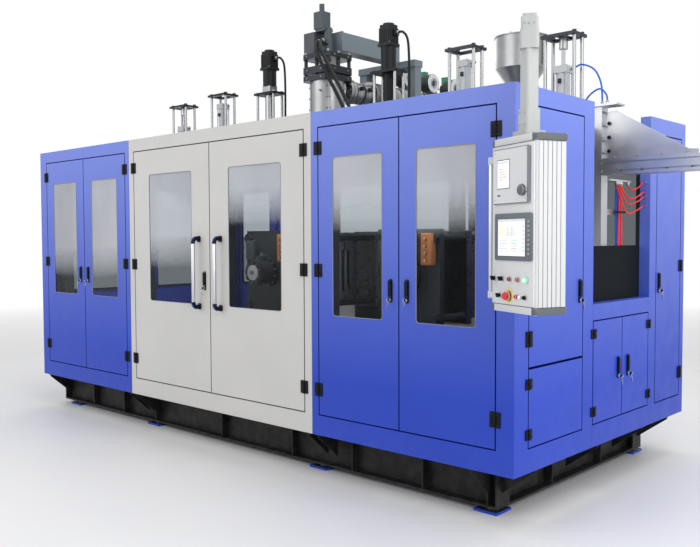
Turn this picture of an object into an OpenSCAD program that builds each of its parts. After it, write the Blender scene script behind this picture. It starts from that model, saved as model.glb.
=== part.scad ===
// Double-station extrusion blow moulding machine.
// Millimetres, +Z up, origin on the floor under the centre of the cabinet.
// +X points to the take-out end and -Y to the operator's side.

/* [Cabinet] */
// Width of each blue side bay
side_bay_w = 1600; // [1500:10:1800]
// Width of the grey centre bay
centre_bay_w = 2250; // [2150:10:2600]
// Depth of the cabinet from front to back
cab_dep = 2430; // [2400:10:2700]
// Height of the cabinet above its base frame
cab_h = 2200; // [2150:10:2400]
// Height of the cabinet's underside above the floor
base_h = 310; // [290:5:360]
// Thickness of the folded sheet
sheet = 3; // [2:0.5:4]
// Depth of the folded returns of the cabinet frames
frame_dep = 75; // [70:1:90]
// Gap between two bays
bay_gap = 3; // [2:0.5:5]

/* [Doors] */
// Frame left above the front doors
top_margin = 105; // [90:5:130]
// Frame left below the front doors
bottom_margin = 140; // [120:5:160]
// Frame beside the side bays' doors, at the cabinet's ends
outer_margin = 120; // [110:1:135]
// Frame beside the side bays' doors, next to the centre bay
inner_margin = 65; // [60:1:75]
// Frame beside the centre bay's doors
centre_margin = 72; // [65:1:80]
// Running gap round every door
door_gap = 4; // [3:0.5:5]
// Thickness of a door
door_t = 38; // [34:1:42]
// Space between a closed door and its stop
stop_gap = 0.4; // [0.3:0.1:1]
// Distance of the windows' upper edge below the cabinet's top
win_top = 315; // [250:5:400]
// Height of the windows' lower edge above the cabinet's underside
win_z = 830; // [780:5:880]
// Frame left beside the windows of the side doors
win_margin = 135; // [120:1:160]
// Frame left beside the windows of the centre doors
centre_win_margin = 231; // [200:1:260]
// Radius of the window corners
win_r = 20; // [12:1:30]
// Thickness of the window panes
pane_t = 5; // [4:1:8]
// How far a pane laps behind the edge of its window
pane_lap = 18; // [12:1:24]

/* [Hinges and handles] */
// Height of a hinge on the tall doors
hinge_h = 89; // [80:1:100]
// Height of a hinge on the low doors
small_hinge_h = 60; // [50:1:70]
// Width of one hinge leaf
hinge_w = 35; // [32:1:38]
// Distance of the hinge pin in front of the panels
hinge_off = 8; // [7.5:0.1:9]
// Length of a swing handle
swing_l = 148; // [130:1:160]
// Width of a swing handle
swing_w = 28; // [24:1:32]
// Length of a tubular pull handle between its brackets
pull_l = 574; // [500:2:640]
// Diameter of the pull handle's tube
pull_d = 28; // [24:1:34]
// Distance of the pull handle's tube from the door
pull_off = 62; // [55:1:70]
// Distance of a pull handle from the meeting edges of the doors
pull_x = 134; // [120:1:150]

/* [Outlet end] */
// Length of the near end wall, from the front corner to the outlet
near_wall_l = 934; // [900:2:960]
// Width of the outlet opening
outlet_w = 861; // [840:1:900]
// Height of the low cabinet under the outlet
low_cab_h = 920; // [880:5:960]
// Depth of the low cabinet into the machine
low_cab_dep = 420; // [360:10:460]

/* [Base] */
// Height of the base frame's beams
beam_h = 278; // [255:1:285]
// Width of the beams' flanges
flange_w = 140; // [120:5:160]
// Thickness of the flanges
flange_t = 14; // [10:1:18]
// Setback of the beams behind the cabinet's front
base_setback = 200; // [180:5:220]
// Side of a levelling foot's pad
foot_w = 160; // [140:5:180]
// Diameter of the anchor holes in the lower flanges
anchor_d = 22; // [18:1:26]

/* [Moulds and clamps] */
// Position of the die head along the machine
head_x = 20; // [0:5:40]
// Position of the machine axis, front to back
axis_y = 80; // [60:5:100]
// Travel of the mould carriages
shuttle = 1470; // [1440:5:1480]
// Opening travel of each mould half
mould_open = 150; // [120:5:160]
// Width of a mould
mould_w = 420; // [360:5:430]
// Height of a mould
mould_h = 560; // [480:5:580]
// Thickness of a mould half
mould_t = 170; // [150:5:180]
// Height of the moulds' underside
mould_z = 1100; // [1080:5:1120]
// Diameter of the tie bars
tie_d = 50; // [44:1:54]

/* [Units on the deck] */
// Distance of the deck's top below the cabinet's top
deck_drop = 110; // [100:5:130]
// Thickness of the deck plate
deck_t = 12; // [8:1:16]
// Stroke of the blow pin frames
pin_stroke = 200; // [150:5:210]
// Stroke of the punch frames
punch_stroke = 100; // [80:5:105]
// Distance of the punching unit from the blow pin unit, left station
left_pitch = 660; // [620:5:700]
// Distance of the punching unit from the blow pin unit, right station
right_pitch = 820; // [800:5:840]
// Distance of the servo actuators from the middle of the stations
servo_x = 735; // [700:5:760]
// Side of a ring plate along the machine
ring_l = 260; // [250:2:280]
// Side of a ring plate across the machine
ring_w = 190; // [180:2:210]
// Distance between the guide rods along the machine
rod_dx = 220; // [210:2:230]
// Distance between the guide rods across the machine
rod_dy = 110; // [104:2:130]
// Diameter of the guide rods
rod_d = 25; // [20:1:28]
// Diameter of the blow pins
pin_d = 36; // [30:1:40]

/* [Die head and extruder] */
// Diameter of the die head
head_d = 300; // [270:5:320]
// Height of the die head's top
head_top = 3030; // [2990:5:3040]
// Side of the flange plates on the die head
plate_w = 335; // [320:5:350]
// Height of the extruder's axis
barrel_z = 2980; // [2950:5:2984]
// Outer diameter of the barrel's heater covers
barrel_d = 250; // [230:5:260]
// Length of one heater zone on the barrel
zone_l = 385; // [370:5:395]
// Gap between two heater covers
zone_gap = 30; // [26:1:40]
// Position of the hopper, front to back
hopper_y = 3290; // [3250:10:3400]
// Diameter of the hopper
hopper_d = 580; // [520:5:620]

/* [Pendant] */
// Width of the control pendant
pendant_w = 390; // [370:5:420]
// Depth of the control pendant
pendant_d = 190; // [170:5:210]
// Height of the control pendant
pendant_h = 881; // [840:1:920]
// Height of the pendant's top
pendant_top = 2161; // [2140:1:2180]
// Turn of the pendant about its post, from facing the front
pendant_turn = -24.6; // [-30:0.2:-20]
// Length of the boom from its pivot to the post
boom_l = 620; // [600:5:660]
// Direction of the boom, from the X axis
boom_dir = -59.3; // [-64:0.1:-55]
// Width of the boom and of the post
boom_w = 72; // [66:1:80]

/* [Take-out] */
// Height of the take-out beam's top
arm_z = 2175; // [2150:5:2200]
// Length of the take-out beam
arm_l = 830; // [700:10:900]
// Side of the take-out beam's profile
arm_w = 105; // [90:1:110]

/* [Hidden] */

// Cabinet edges and levels
cab_l = 2*side_bay_w + centre_bay_w;
hx = cab_l/2;
hy = cab_dep/2;
z0 = base_h;
z1 = base_h + cab_h;
deck_z = z1 - deck_drop;
win_h = cab_h - win_top - win_z;
pendant_z = pendant_top - pendant_h;
bay_x = centre_bay_w/2;
door_h = cab_h - top_margin - bottom_margin;
stop_y = door_t + stop_gap;
stop_lap = 14;
rear_margin = 100;

// Rear end of the right bay, which leaves the corner to the far column
rear_x1 = hx - frame_dep - bay_gap;

// Door openings as [left x, right x] in the machine's frame
open_left = [-hx + outer_margin, -bay_x - inner_margin];
open_centre = [-bay_x + centre_margin, bay_x - centre_margin];
open_right = [bay_x + inner_margin, hx - outer_margin];
function mid(span) = (span[0] + span[1])/2;

// End doors, measured along the end wall from the front corner
end_door = [150, 800];
end_split = 602;
out_door = [near_wall_l + 6, near_wall_l + outlet_w - 10];
out_door_z = [145, 815];
col_y = near_wall_l + outlet_w;
col_door = [col_y + 113, cab_dep - 70];
col_door_z = [140, cab_h - 117];

// Hinge heights above the cabinet's underside
front_hinges = [317, 1130, cab_h - 247];
upper_hinges = [770, 1330, cab_h - 247];
lower_hinges = [223, 512];
outlet_hinges = [230, 730];
column_hinges = front_hinges;
hinge_r = 7;
leaf_t = 6;

// Station and unit positions
left_x = head_x - shuttle;
right_x = head_x + shuttle;
pin_units = [left_x, right_x];
punch_units = [left_x - left_pitch, right_x + right_pitch];
servo_units_x = [head_x - 30 - servo_x, head_x - 30 + servo_x];
inner_ring_z = deck_z + 695;
outer_ring_z = deck_z + 655;
ring_t = 20;
tool_z = deck_z - 260;
servo_top = deck_z + 630;

// Bed, columns and carriages
col_w = 100;
col_x = [-hx + 165, -bay_x, bay_x, hx - 235];
col_dy = hy - 175;
bed_dy = 450;
bed_w = 140;
bed_h = 200;
rail_h = 35;
rail_w = 45;
carriage_l = 700;
carriage_dep = 1400;
carriage_t = 40;
rail_gap = 0.3;
carriage_z = z0 + bed_h + rail_h + rail_gap;
head_plate_t = 50;
platen_w = 560;
platen_t = 60;
tie_dx = platen_w/2 - 35;
tie_dz = mould_h/2;
tie_z = mould_z + mould_h/2;
mould_gap = 0.5;
slide_gap = 0.5;
clamp_rod_d = 90;
clamp_grip = 10;
clamp_l = mould_open + clamp_grip + 15;
piston_d = 26;
inner_cyl_l = inner_ring_z - deck_z - 85;
outer_cyl_l = outer_ring_z - deck_z - 205;
die_low = deck_z - 600;

zones = 6;
core_d = 150;
zone_y0 = axis_y + 527;
zone_y1 = zone_y0 + zones*zone_l;
saddle_y = zone_y0 + 3*zone_l - zone_gap/2;

spigot_d = 58;
spigot_h = 80;
spigot_base = 13;
post_spigot_d = 40;
post_spigot_h = 60;
seat_gap = 0.3;
button_travel = 4;
stop_stem_d = 22;
stop_x = -30;
stop_z = 82;
top_row_z = 168;
face_out = 5;
pivot = [hx - 71, -hy + 262];
post = [pivot[0] + boom_l*cos(boom_dir), pivot[1] + boom_l*sin(boom_dir)];

// A pan of folded sheet: front face at y = 0, returns running back to y = dep.
// Each hole is [x0, z0, x1, z1] and has its own returns.
module face_pan(w, h, dep, holes) {
    difference() {
        cube([w, dep, h]);
        translate([sheet, sheet, sheet]) cube([w - 2*sheet, dep, h - 2*sheet]);
        for (o = holes) translate([o[0], -1, o[1]]) cube([o[2] - o[0], dep + 2, o[3] - o[1]]);
    }
    for (o = holes) hole_return(o, dep);
}

// The folded edge round one hole of a pan
module hole_return(o, dep) {
    difference() {
        translate([o[0] - sheet, 0, o[1] - sheet])
            cube([o[2] - o[0] + 2*sheet, dep, o[3] - o[1] + 2*sheet]);
        translate([o[0], -1, o[1]]) cube([o[2] - o[0], dep + 2, o[3] - o[1]]);
    }
}

// The stop strip behind a door, on all four sides of its opening
module door_stop(o) {
    difference() {
        translate([o[0] - sheet/2, stop_y, o[1] - sheet/2])
            cube([o[2] - o[0] + sheet, sheet, o[3] - o[1] + sheet]);
        translate([o[0] + stop_lap, stop_y - 1, o[1] + stop_lap])
            cube([o[2] - o[0] - 2*stop_lap, sheet + 2, o[3] - o[1] - 2*stop_lap]);
    }
}

// Local frames of the cabinet's four sides: x along the side, y into the machine
module on_front(x) { translate([x, -hy, z0]) children(); }
module on_right(y) { translate([hx, -hy + y, z0]) rotate([0, 0, 90]) children(); }
module on_left(y) { translate([-hx, -hy + y, z0]) rotate([0, 0, -90]) children(); }
module on_back(x) { translate([x, hy, z0]) rotate([0, 0, 180]) children(); }

// Outline with four rounded corners, lower left corner at the origin
module round_rect(w, h, r) {
    translate([r, 0]) square([w - 2*r, h]);
    translate([0, r]) square([w, h - 2*r]);
    for (x = [r, w - r], y = [r, h - r]) translate([x, y]) circle(r, $fn = 48);
}

// Round-cornered plate standing in the XZ plane, front at y = 0
module round_plate(w, h, t, r) {
    translate([0, t, 0]) rotate([90, 0, 0]) linear_extrude(t) round_rect(w, h, r);
}

// Hollow square tube along Z
module box_tube(a, b, l, t) {
    difference() {
        translate([-a/2, -b/2, 0]) cube([a, b, l]);
        translate([-a/2 + t, -b/2 + t, -1]) cube([a - 2*t, b - 2*t, l + 2]);
    }
}

// Solid beam between two corners
module bar(p, q) { translate(p) cube([q[0] - p[0], q[1] - p[1], q[2] - p[2]]); }

// Half of a hinge that stays on the frame, with the pin. Pin axis along Z at the origin,
// the panels' faces at y = hinge_off; side = -1 puts the leaf at -x.
module hinge_half(h, side, fixed) {
    third = h/3;
    play = 0.5;
    spans = fixed ? [[0, third], [2*third, h]] : [[third + play, 2*third - play]];
    leaf_y = hinge_off - leaf_t;
    difference() {
        union() {
            mirror([side < 0 ? 1 : 0, 0, 0])
                bar([hinge_r + 1.5, leaf_y, -h/2], [hinge_w, hinge_off, h/2]);
            for (s = spans) {
                translate([0, 0, -h/2 + s[0]]) cylinder(r = hinge_r, h = s[1] - s[0], $fn = 24);
                mirror([side < 0 ? 1 : 0, 0, 0])
                    bar([2, leaf_y, -h/2 + s[0]], [hinge_r + 2, hinge_off, -h/2 + s[1]]);
            }
        }
        if (!fixed) translate([0, 0, -h]) cylinder(r = 3.4, h = 2*h, $fn = 24);
    }
    if (fixed) translate([0, 0, -h/2]) cylinder(r = 2.5, h = h, $fn = 24);
}

// Hinge halves of one door at all its heights, in the local frame of a side
module hinge_row(x, heights, h, side, fixed) {
    for (z = heights) translate([x, -hinge_off, z]) hinge_half(h, side, fixed);
}

// Swing handle with its lock, flat on a door's face, centre at the origin
module swing_handle() {
    r = swing_w/2;
    translate([-r, -5, -swing_l/2]) round_plate(swing_w, swing_l, 5.2, r - 1);
    translate([-r + 3, -15, -swing_l/2 + 34]) round_plate(swing_w - 6, swing_l - 38, 10.5, 9);
    translate([0, 0, -swing_l/2 + 17]) rotate([90, 0, 0]) cylinder(d = 18, h = 14, $fn = 32);
    translate([-1.2, -34, -swing_l/2 + 9]) cube([2.4, 22, 16]);
}

// Door of folded sheet, w x h, with an optional window [x0, z0, x1, z1]
module door_leaf(w, h, win) {
    has_win = len(win) == 4;
    difference() {
        cube([w, door_t, h]);
        translate([sheet, sheet, sheet]) cube([w - 2*sheet, door_t, h - 2*sheet]);
        if (has_win) translate([win[0], -1, win[1]])
            round_plate(win[2] - win[0], win[3] - win[1], sheet + 2, win_r);
    }
    if (has_win) pane_rim(win);
    // Inner edge of the folded returns
    difference() {
        translate([0, door_t - sheet, 0]) cube([w, sheet, h]);
        translate([25, door_t - sheet - 1, 25]) cube([w - 50, sheet + 2, h - 50]);
    }
}

// Channel that holds a pane behind the door's face
module pane_rim(win) {
    g = pane_lap + 1;
    difference() {
        translate([win[0] - g - sheet, sheet/2, win[1] - g - sheet])
            cube([win[2] - win[0] + 2*(g + sheet), sheet/2 + pane_t + 8, win[3] - win[1] + 2*(g + sheet)]);
        translate([win[0] - g, 0, win[1] - g])
            cube([win[2] - win[0] + 2*g, 40, win[3] - win[1] + 2*g]);
    }
}

// Pane of a door, behind the door's face
module pane(win) {
    translate([win[0] - pane_lap, sheet, win[1] - pane_lap])
        cube([win[2] - win[0] + 2*pane_lap, pane_t, win[3] - win[1] + 2*pane_lap]);
}

// Door width and window of a front pair, from the pair's opening
function leaf_w(span) = (span[1] - span[0])/2 - 1.5*door_gap;
function leaf_win(span, margin) =
    [margin, win_z - bottom_margin - door_gap, leaf_w(span) - margin, win_z - bottom_margin - door_gap + win_h];
function leaf_x(span, right) = right ? mid(span) + door_gap/2 : span[0] + door_gap;

// One front door: its leaf, its hinge halves and its handle
module front_door(span, margin, right, handle) {
    x = leaf_x(span, right);
    w = leaf_w(span);
    hinge_x = right ? span[1] - door_gap/2 : span[0] + door_gap/2;
    color(span == open_centre ? "gainsboro" : "royalblue") on_front(0) {
        translate([x, 0, bottom_margin + door_gap]) door_leaf(w, door_h - 2*door_gap, leaf_win(span, margin));
        hinge_row(hinge_x, front_hinges, hinge_h, right ? -1 : 1, false);
        if (handle) translate([mid(span) + (right ? 1 : -1)*66, 0, 1018]) swing_handle();
    }
}

module front_pane(span, margin, right) {
    color("lightsteelblue", 0.4) on_front(0)
        translate([leaf_x(span, right), 0, bottom_margin + door_gap]) pane(leaf_win(span, margin));
}

// Tubular pull handle on its two brackets, at one side of the meeting edges
module pull_handle(side) {
    x = mid(open_centre) + side*pull_x;
    zm = 1080;
    color("silver") on_front(x) {
        for (s = [-1, 1]) translate([0, 0, zm + s*(pull_l/2 - 22)]) pull_bracket(s);
        translate([0, -pull_off, zm - pull_l/2 + 30]) cylinder(d = pull_d, h = pull_l - 60, $fn = 48);
    }
}

// Curved bracket of a pull handle: foot on the door, socket round the tube
module pull_bracket(s) {
    translate([-19, -12, -24]) round_plate(38, 48, 12, 8);
    translate([-14, -pull_off, -14 + s*4]) cube([28, pull_off - 6, 28]);
    translate([0, -pull_off, -22 + s*4]) cylinder(d = 38, h = 44, $fn = 48);
}

// Plain end door over [x0, x1] x [z0, z1], hinged on one side, with an optional handle
module end_door(span, zs, heights, h, hinge_left, handle_x, handle_z) {
    w = span[1] - span[0] - 2*door_gap;
    hinge_x = hinge_left ? span[0] + door_gap/2 : span[1] - door_gap/2;
    translate([span[0] + door_gap, 0, zs[0] + door_gap]) door_leaf(w, zs[1] - zs[0] - 2*door_gap, []);
    hinge_row(hinge_x, heights, h, hinge_left ? 1 : -1, false);
    if (handle_z > 0) translate([handle_x, 0, handle_z]) swing_handle();
}

// Base frame: I-beams all round with stiffener ribs, and cross beams
module base_frame() {
    fy = hy - base_setback;
    fx0 = -hx + 50;
    fx1 = hx - 237;
    zb = base_h - beam_h;
    color("dimgray") difference() {
        union() {
            for (s = [-1, 1]) translate([fx0, s*(fy - flange_w/2), 0]) i_beam(fx1 - fx0, [for (r = rib_x()) r - fx0]);
            for (x = [fx0 + flange_w/2, fx1 - flange_w/2, -bay_x, bay_x, head_x - 300, head_x + 300])
                translate([x, -fy + flange_w/2, 0]) rotate([0, 0, 90]) i_beam(2*fy - flange_w, [600, 1300]);
            // Brackets that carry the cabinet where it overhangs the beams
            for (x = [fx0 + 60, -bay_x - 45, -bay_x + 45, bay_x - 45, bay_x + 45, fx1 - 60], s = [-1, 1])
                translate([x, s*(fy - 2), 0]) mirror([0, s < 0 ? 1 : 0, 0]) outrigger(base_setback - 8);
            for (y = [-fy + 60, -fy + near_wall_l - 90, -hy + col_y - 60, fy - 60])
                translate([fx1 - 2, y, 0]) rotate([0, 0, -90]) outrigger(hx - fx1 - 8);
        }
        for (x = anchor_x(), s = [-1, 1]) translate([x, s*(fy - 35), zb - 1]) cylinder(d = anchor_d, h = flange_t + 2, $fn = 48);
    }
}

// Bracket along Y from the origin: plate under the cabinet with a web below it
module outrigger(l) {
    bar([-30, 0, base_h - 8], [30, l, base_h]);
    translate([0, 0, base_h]) rotate([0, 90, 0]) linear_extrude(8, center = true)
        polygon([[0, 0], [0, l], [20, l], [beam_h - 90, 0]]);
}

function rib_x() = [-hx + 595, -hx + 1133, -bay_x + 47, head_x - 156, head_x + 680, bay_x + 181, hx - 802, hx - 311];
function anchor_x() = [-hx + 420, hx - 420];

// I-beam along X from the origin, underside on the feet, with ribs at the given places
module i_beam(l, ribs) {
    zt = base_h;
    zb = base_h - beam_h;
    bar([0, -flange_w/2, zb], [l, flange_w/2, zb + flange_t]);
    bar([0, -flange_w/2, zt - flange_t], [l, flange_w/2, zt]);
    bar([0, -6, zb], [l, 6, zt]);
    for (x = ribs) bar([x - 5, -flange_w/2 + 6, zb + 1], [x + 5, flange_w/2 - 6, zt - 1]);
    for (x = [0, l - 12]) bar([x, -flange_w/2, zb], [x + 12, flange_w/2, zt]);
}

// Levelling feet: pad, stud and nut under the beams
module levelling_feet() {
    fy = hy - base_setback - flange_w/2;
    zb = base_h - beam_h;
    color("darkslategray") for (x = [-hx + 270, -bay_x + 30, bay_x - 140, hx - 315], s = [-1, 1]) translate([x, s*fy, 0]) {
        bar([-foot_w/2, -foot_w/2, 0], [foot_w/2, foot_w/2, 12]);
        cylinder(d = 60, h = zb, $fn = 48);
    }
}

// Rail that ties a front frame to its rear frame along the roof's edge
module side_rails(x) {
    translate([x, hy - frame_dep + 1, z1 - 30]) rotate([90, 0, 0])
        box_tube(50, 60, cab_dep - 2*frame_dep + 2, 3);
}

// A bay's front frame between x0 and x1
module front_frame(x0, x1, span) {
    o = [span[0] - x0, bottom_margin, span[1] - x0, cab_h - top_margin];
    on_front(x0) {
        face_pan(x1 - x0, cab_h, frame_dep, [o]);
        door_stop(o);
    }
}

// A bay's rear frame between x0 and x1
module rear_frame(x0, x1) {
    b = [rear_margin, bottom_margin, x1 - x0 - rear_margin, cab_h - top_margin];
    on_back(x1) {
        face_pan(x1 - x0, cab_h, frame_dep, [b]);
        door_stop(b);
    }
}

module left_housing() {
    x1 = -bay_x - bay_gap/2;
    end_holes = [[150, bottom_margin, cab_dep/2 - 30, cab_h - top_margin],
        [cab_dep/2 + 30, bottom_margin, cab_dep - 150, cab_h - top_margin]];
    color("royalblue") {
        front_frame(-hx, x1, open_left);
        rear_frame(-hx, x1);
        on_left(cab_dep) {
            face_pan(cab_dep, cab_h, frame_dep, end_holes);
            for (o = end_holes) door_stop(o);
        }
        side_rails(x1 - 25);
    }
}

module centre_housing() {
    color("gainsboro") {
        front_frame(-bay_x + bay_gap/2, bay_x - bay_gap/2, open_centre);
        rear_frame(-bay_x + bay_gap/2, bay_x - bay_gap/2);
        for (s = [-1, 1]) side_rails(s*(bay_x - bay_gap/2 - 25));
    }
}

module right_housing() {
    x0 = bay_x + bay_gap/2;
    o = [end_door[0], bottom_margin, end_door[1], cab_h - top_margin];
    color("royalblue") {
        front_frame(x0, hx, open_right);
        rear_frame(x0, rear_x1);
        on_right(0) {
            face_pan(near_wall_l, cab_h, frame_dep, [o]);
            door_stop(o);
            bar([end_door[0] - 1, stop_y, end_split - 20], [end_door[1] + 1, frame_dep, end_split + 20]);
        }
        side_rails(x0 + 25);
        // Top rail of the near end wall, which carries the boom's pivot
        bar([hx - 130, -hy + frame_dep - 1, z1 - 8], [hx - 1, -hy + near_wall_l, z1]);
        translate([pivot[0], pivot[1], z1 - 1]) cylinder(d = 112, h = spigot_base + 1, $fn = 64);
        translate([pivot[0], pivot[1], z1]) cylinder(d = spigot_d, h = spigot_h, $fn = 64);
    }
}

// Low cabinet under the outlet and the far column
module outlet_housing() {
    o = [out_door[0] - near_wall_l, out_door_z[0], out_door[1] - near_wall_l, out_door_z[1]];
    c = [col_door[0] - col_y, col_door_z[0], col_door[1] - col_y, col_door_z[1]];
    w = outlet_w;
    color("royalblue") {
        on_right(near_wall_l + bay_gap) {
            face_pan(w - bay_gap + 1, low_cab_h, frame_dep, [o]);
            door_stop(o);
            bar([0, 0, low_cab_h - sheet], [w, low_cab_dep, low_cab_h]);
            bar([0, low_cab_dep - sheet, 0], [w, low_cab_dep, low_cab_h]);
        }
        on_right(col_y) {
            face_pan(cab_dep - col_y, cab_h, frame_dep, [c]);
            door_stop(c);
        }
    }
    color("royalblue") {
        for (b = bundle) translate([b[0], b[1], z0 + low_cab_h - 1]) cylinder(d = 20, h = 15, $fn = 32);
        for (z = red_z) translate([hx - 37, -hy + col_y + 1, z]) rotate([90, 0, 0]) cylinder(d = 20, h = 15, $fn = 32);
    }
    color("darkslategray") on_right(near_wall_l + bay_gap)
        bar([2, frame_dep + 4, low_cab_h - 0.5], [w - 2, frame_dep + 8, low_cab_h + 370]);
}

// Plain bolted covers in the openings at the back and the left end
module cover_panels() {
    color("royalblue") {
        for (b = [[-hx, -bay_x - bay_gap/2], [bay_x + bay_gap/2, rear_x1]]) cover(b);
        end_cover();
    }
    color("gainsboro") cover([-bay_x + bay_gap/2, bay_x - bay_gap/2]);
}

module cover(b) { at_covers(b) cover_leaf(cover_w(b), cover_h); }
module end_cover() { at_end_covers() cover_leaf(end_cover_w, cover_h); }

// Places and sizes of the covers
cover_h = cab_h - top_margin - bottom_margin - 8;
end_cover_w = cab_dep/2 - 188;
function cover_w(b) = (b[1] - b[0] - 2*rear_margin)/2 - 8;
function cover_win(w) = [cover_win_margin, win_z - bottom_margin - 4, w - cover_win_margin, win_z - bottom_margin - 4 + win_h];
module at_covers(b) {
    on_back(b[1]) for (i = [0, 1])
        translate([rear_margin + 4 + i*(cover_w(b) + 8), 0, bottom_margin + 4]) children();
}
module at_end_covers() {
    on_left(cab_dep) for (x = [150, cab_dep/2 + 30]) translate([x + 4, 0, bottom_margin + 4]) children();
}

// Cover pan with a window and with louvres near its foot
cover_win_margin = 110;
module cover_leaf(w, h) {
    louvre_z = 160;
    win = cover_win(w);
    difference() {
        cube([w, stop_y, h]);
        translate([sheet, sheet, sheet]) cube([w - 2*sheet, stop_y, h - 2*sheet]);
        for (i = [0:7]) translate([w*0.2, -1, louvre_z + i*26]) cube([w*0.6, sheet + 2, 8]);
        translate([win[0], -1, win[1]]) round_plate(win[2] - win[0], win[3] - win[1], sheet + 2, win_r);
    }
    pane_rim(win);
    for (i = [0:7]) translate([w*0.2, -7, louvre_z + i*26 + 8]) rotate([-35, 0, 0]) cube([w*0.6, 12, 2]);
    difference() {
        translate([0, stop_y - sheet, 0]) cube([w, sheet, h]);
        translate([30, stop_y - sheet - 1, 30]) cube([w - 60, sheet + 2, h - 60]);
    }
}

// Panes of the covers at the back and at the left end
module cover_panes() {
    color("lightsteelblue", 0.4) {
        for (b = [[-hx, -bay_x - bay_gap/2], [-bay_x + bay_gap/2, bay_x - bay_gap/2], [bay_x + bay_gap/2, rear_x1]])
            at_covers(b) pane(cover_win(cover_w(b)));
        at_end_covers() pane(cover_win(end_cover_w));
    }
}

// The hinge halves that stay on the frames
module hinge_leaves() {
    color("black") {
        on_front(0) for (s = [open_left, open_centre, open_right]) {
            hinge_row(s[0] + door_gap/2, front_hinges, hinge_h, -1, true);
            hinge_row(s[1] - door_gap/2, front_hinges, hinge_h, 1, true);
        }
        on_right(0) {
            hinge_row(end_door[0] + door_gap/2, upper_hinges, hinge_h, -1, true);
            hinge_row(end_door[0] + door_gap/2, lower_hinges, small_hinge_h, -1, true);
            hinge_row(out_door[0] + door_gap/2 + 3, outlet_hinges, small_hinge_h, -1, true);
            hinge_row(out_door[1] - door_gap/2 + 3, outlet_hinges, small_hinge_h, 1, true);
            hinge_row(col_door[1] - door_gap/2, column_hinges, hinge_h, 1, true);
        }
    }
}

// Columns, top beams and the bed that carries the rails
module machine_frame() {
    beam_z = deck_z - deck_t - col_w;
    color("slategray") {
        for (x = col_x, s = [-1, 1]) translate([x, s*col_dy, z0]) box_tube(col_w, col_w, beam_z - z0 + 1, 8);
        for (s = [-1, 1]) bar([col_x[0] - col_w/2, s*col_dy - col_w/2, beam_z], [col_x[3] + col_w/2, s*col_dy + col_w/2, beam_z + col_w]);
        for (x = concat(col_x, [head_x - 380, head_x + 380]))
            bar([x - col_w/2, -col_dy, beam_z], [x + col_w/2, col_dy, beam_z + col_w]);
        for (s = [-1, 1]) bar([-hx + 105, axis_y + s*bed_dy - bed_w/2, z0], [hx - 450, axis_y + s*bed_dy + bed_w/2, z0 + bed_h]);
        for (x = [-bay_x, bay_x])
            bar([x - col_w/2, -col_dy + col_w/2 + seat_gap, z0], [x + col_w/2, col_dy - col_w/2 - seat_gap, z0 + 120]);
    }
}

// Linear rails on the bed
module shuttle_rails() {
    color("silver") for (s = [-1, 1])
        bar([left_x - 480, axis_y + s*bed_dy - rail_w/2, z0 + bed_h], [right_x + 480, axis_y + s*bed_dy + rail_w/2, z0 + bed_h + rail_h]);
}

// Roof deck with the openings for the head, the pins and the rods
module top_deck() {
    units = concat(pin_units, punch_units);
    color("slategray") difference() {
        union() {
            bar([-hx + frame_dep + 20, -hy + frame_dep + 20, deck_z - deck_t], [hx - 135, hy - frame_dep - 20, deck_z]);
            for (x = units) at_rods(x) translate([0, 0, deck_z - 1]) cylinder(d = rod_d + 24, h = 26, $fn = 48);
            for (g = deck_glands) translate([g[0], g[1], deck_z - 1]) {
                cylinder(d = g[2] + 20, h = 7, $fn = 48);
                cylinder(r = g[2]/2 + 4, h = 20, $fn = 6);
                cylinder(d = g[2], h = gland_h + 1, $fn = 48);
            }
        }
        // Notch round the take-out post and over the outlet
        bar([hx - 180, -hy + near_wall_l - 4, deck_z - 20], [hx, -hy + near_wall_l + outlet_w + 4, deck_z + 20]);
        translate([head_x, axis_y, deck_z - 50]) cylinder(d = head_d - 20, h = 100, $fn = 96);
        for (x = units) at_rods(x) translate([0, 0, deck_z - 50]) cylinder(d = rod_d + 2*slide_gap, h = 100, $fn = 48);
        for (x = pin_units) translate([x, axis_y, deck_z - 50]) cylinder(d = piston_d + 2*slide_gap, h = 100, $fn = 48);
    }
}

// The four guide rod places of the unit at x
module at_rods(x) {
    for (i = [-1, 1], j = [-1, 1]) translate([x + i*rod_dx/2, axis_y + j*rod_dy/2, 0]) children();
}

// Die head: heated body, mounting flange, lower die and mandrel
module die_head() {
    color("silver") translate([head_x, axis_y, 0]) {
        translate([0, 0, deck_z]) cylinder(d = 440, h = 30, $fn = 96);
        translate([0, 0, deck_z - 330]) cylinder(d = head_d - 40, h = 340, $fn = 96);
        translate([0, 0, deck_z + 20]) cylinder(d = head_d, h = head_top - deck_z - 20, $fn = 96);
        translate([0, 0, deck_z + 240]) cylinder(d = head_d + 8, h = 6, $fn = 96);
        translate([0, 0, die_low + 120]) cylinder(d = 190, h = deck_z - 330 - die_low - 110, $fn = 96);
        translate([0, 0, die_low + 40]) cylinder(d = 130, h = 90, $fn = 96);
        translate([0, 0, die_low]) cylinder(d1 = 84, d2 = 70, h = 50, $fn = 96);
        for (a = [0, 90, 180, 270]) rotate([0, 0, a - 43]) bar([head_d/2 - 6, -9, deck_z + 60], [head_d/2 + 8, 9, head_top - 10]);
    }
}

// Square plate with cut corners
module cut_plate(w, t, c) {
    linear_extrude(t) polygon([[-w/2 + c, -w/2], [w/2 - c, -w/2], [w/2, -w/2 + c], [w/2, w/2 - c],
        [w/2 - c, w/2], [-w/2 + c, w/2], [-w/2, w/2 - c], [-w/2, -w/2 + c]]);
}

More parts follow.
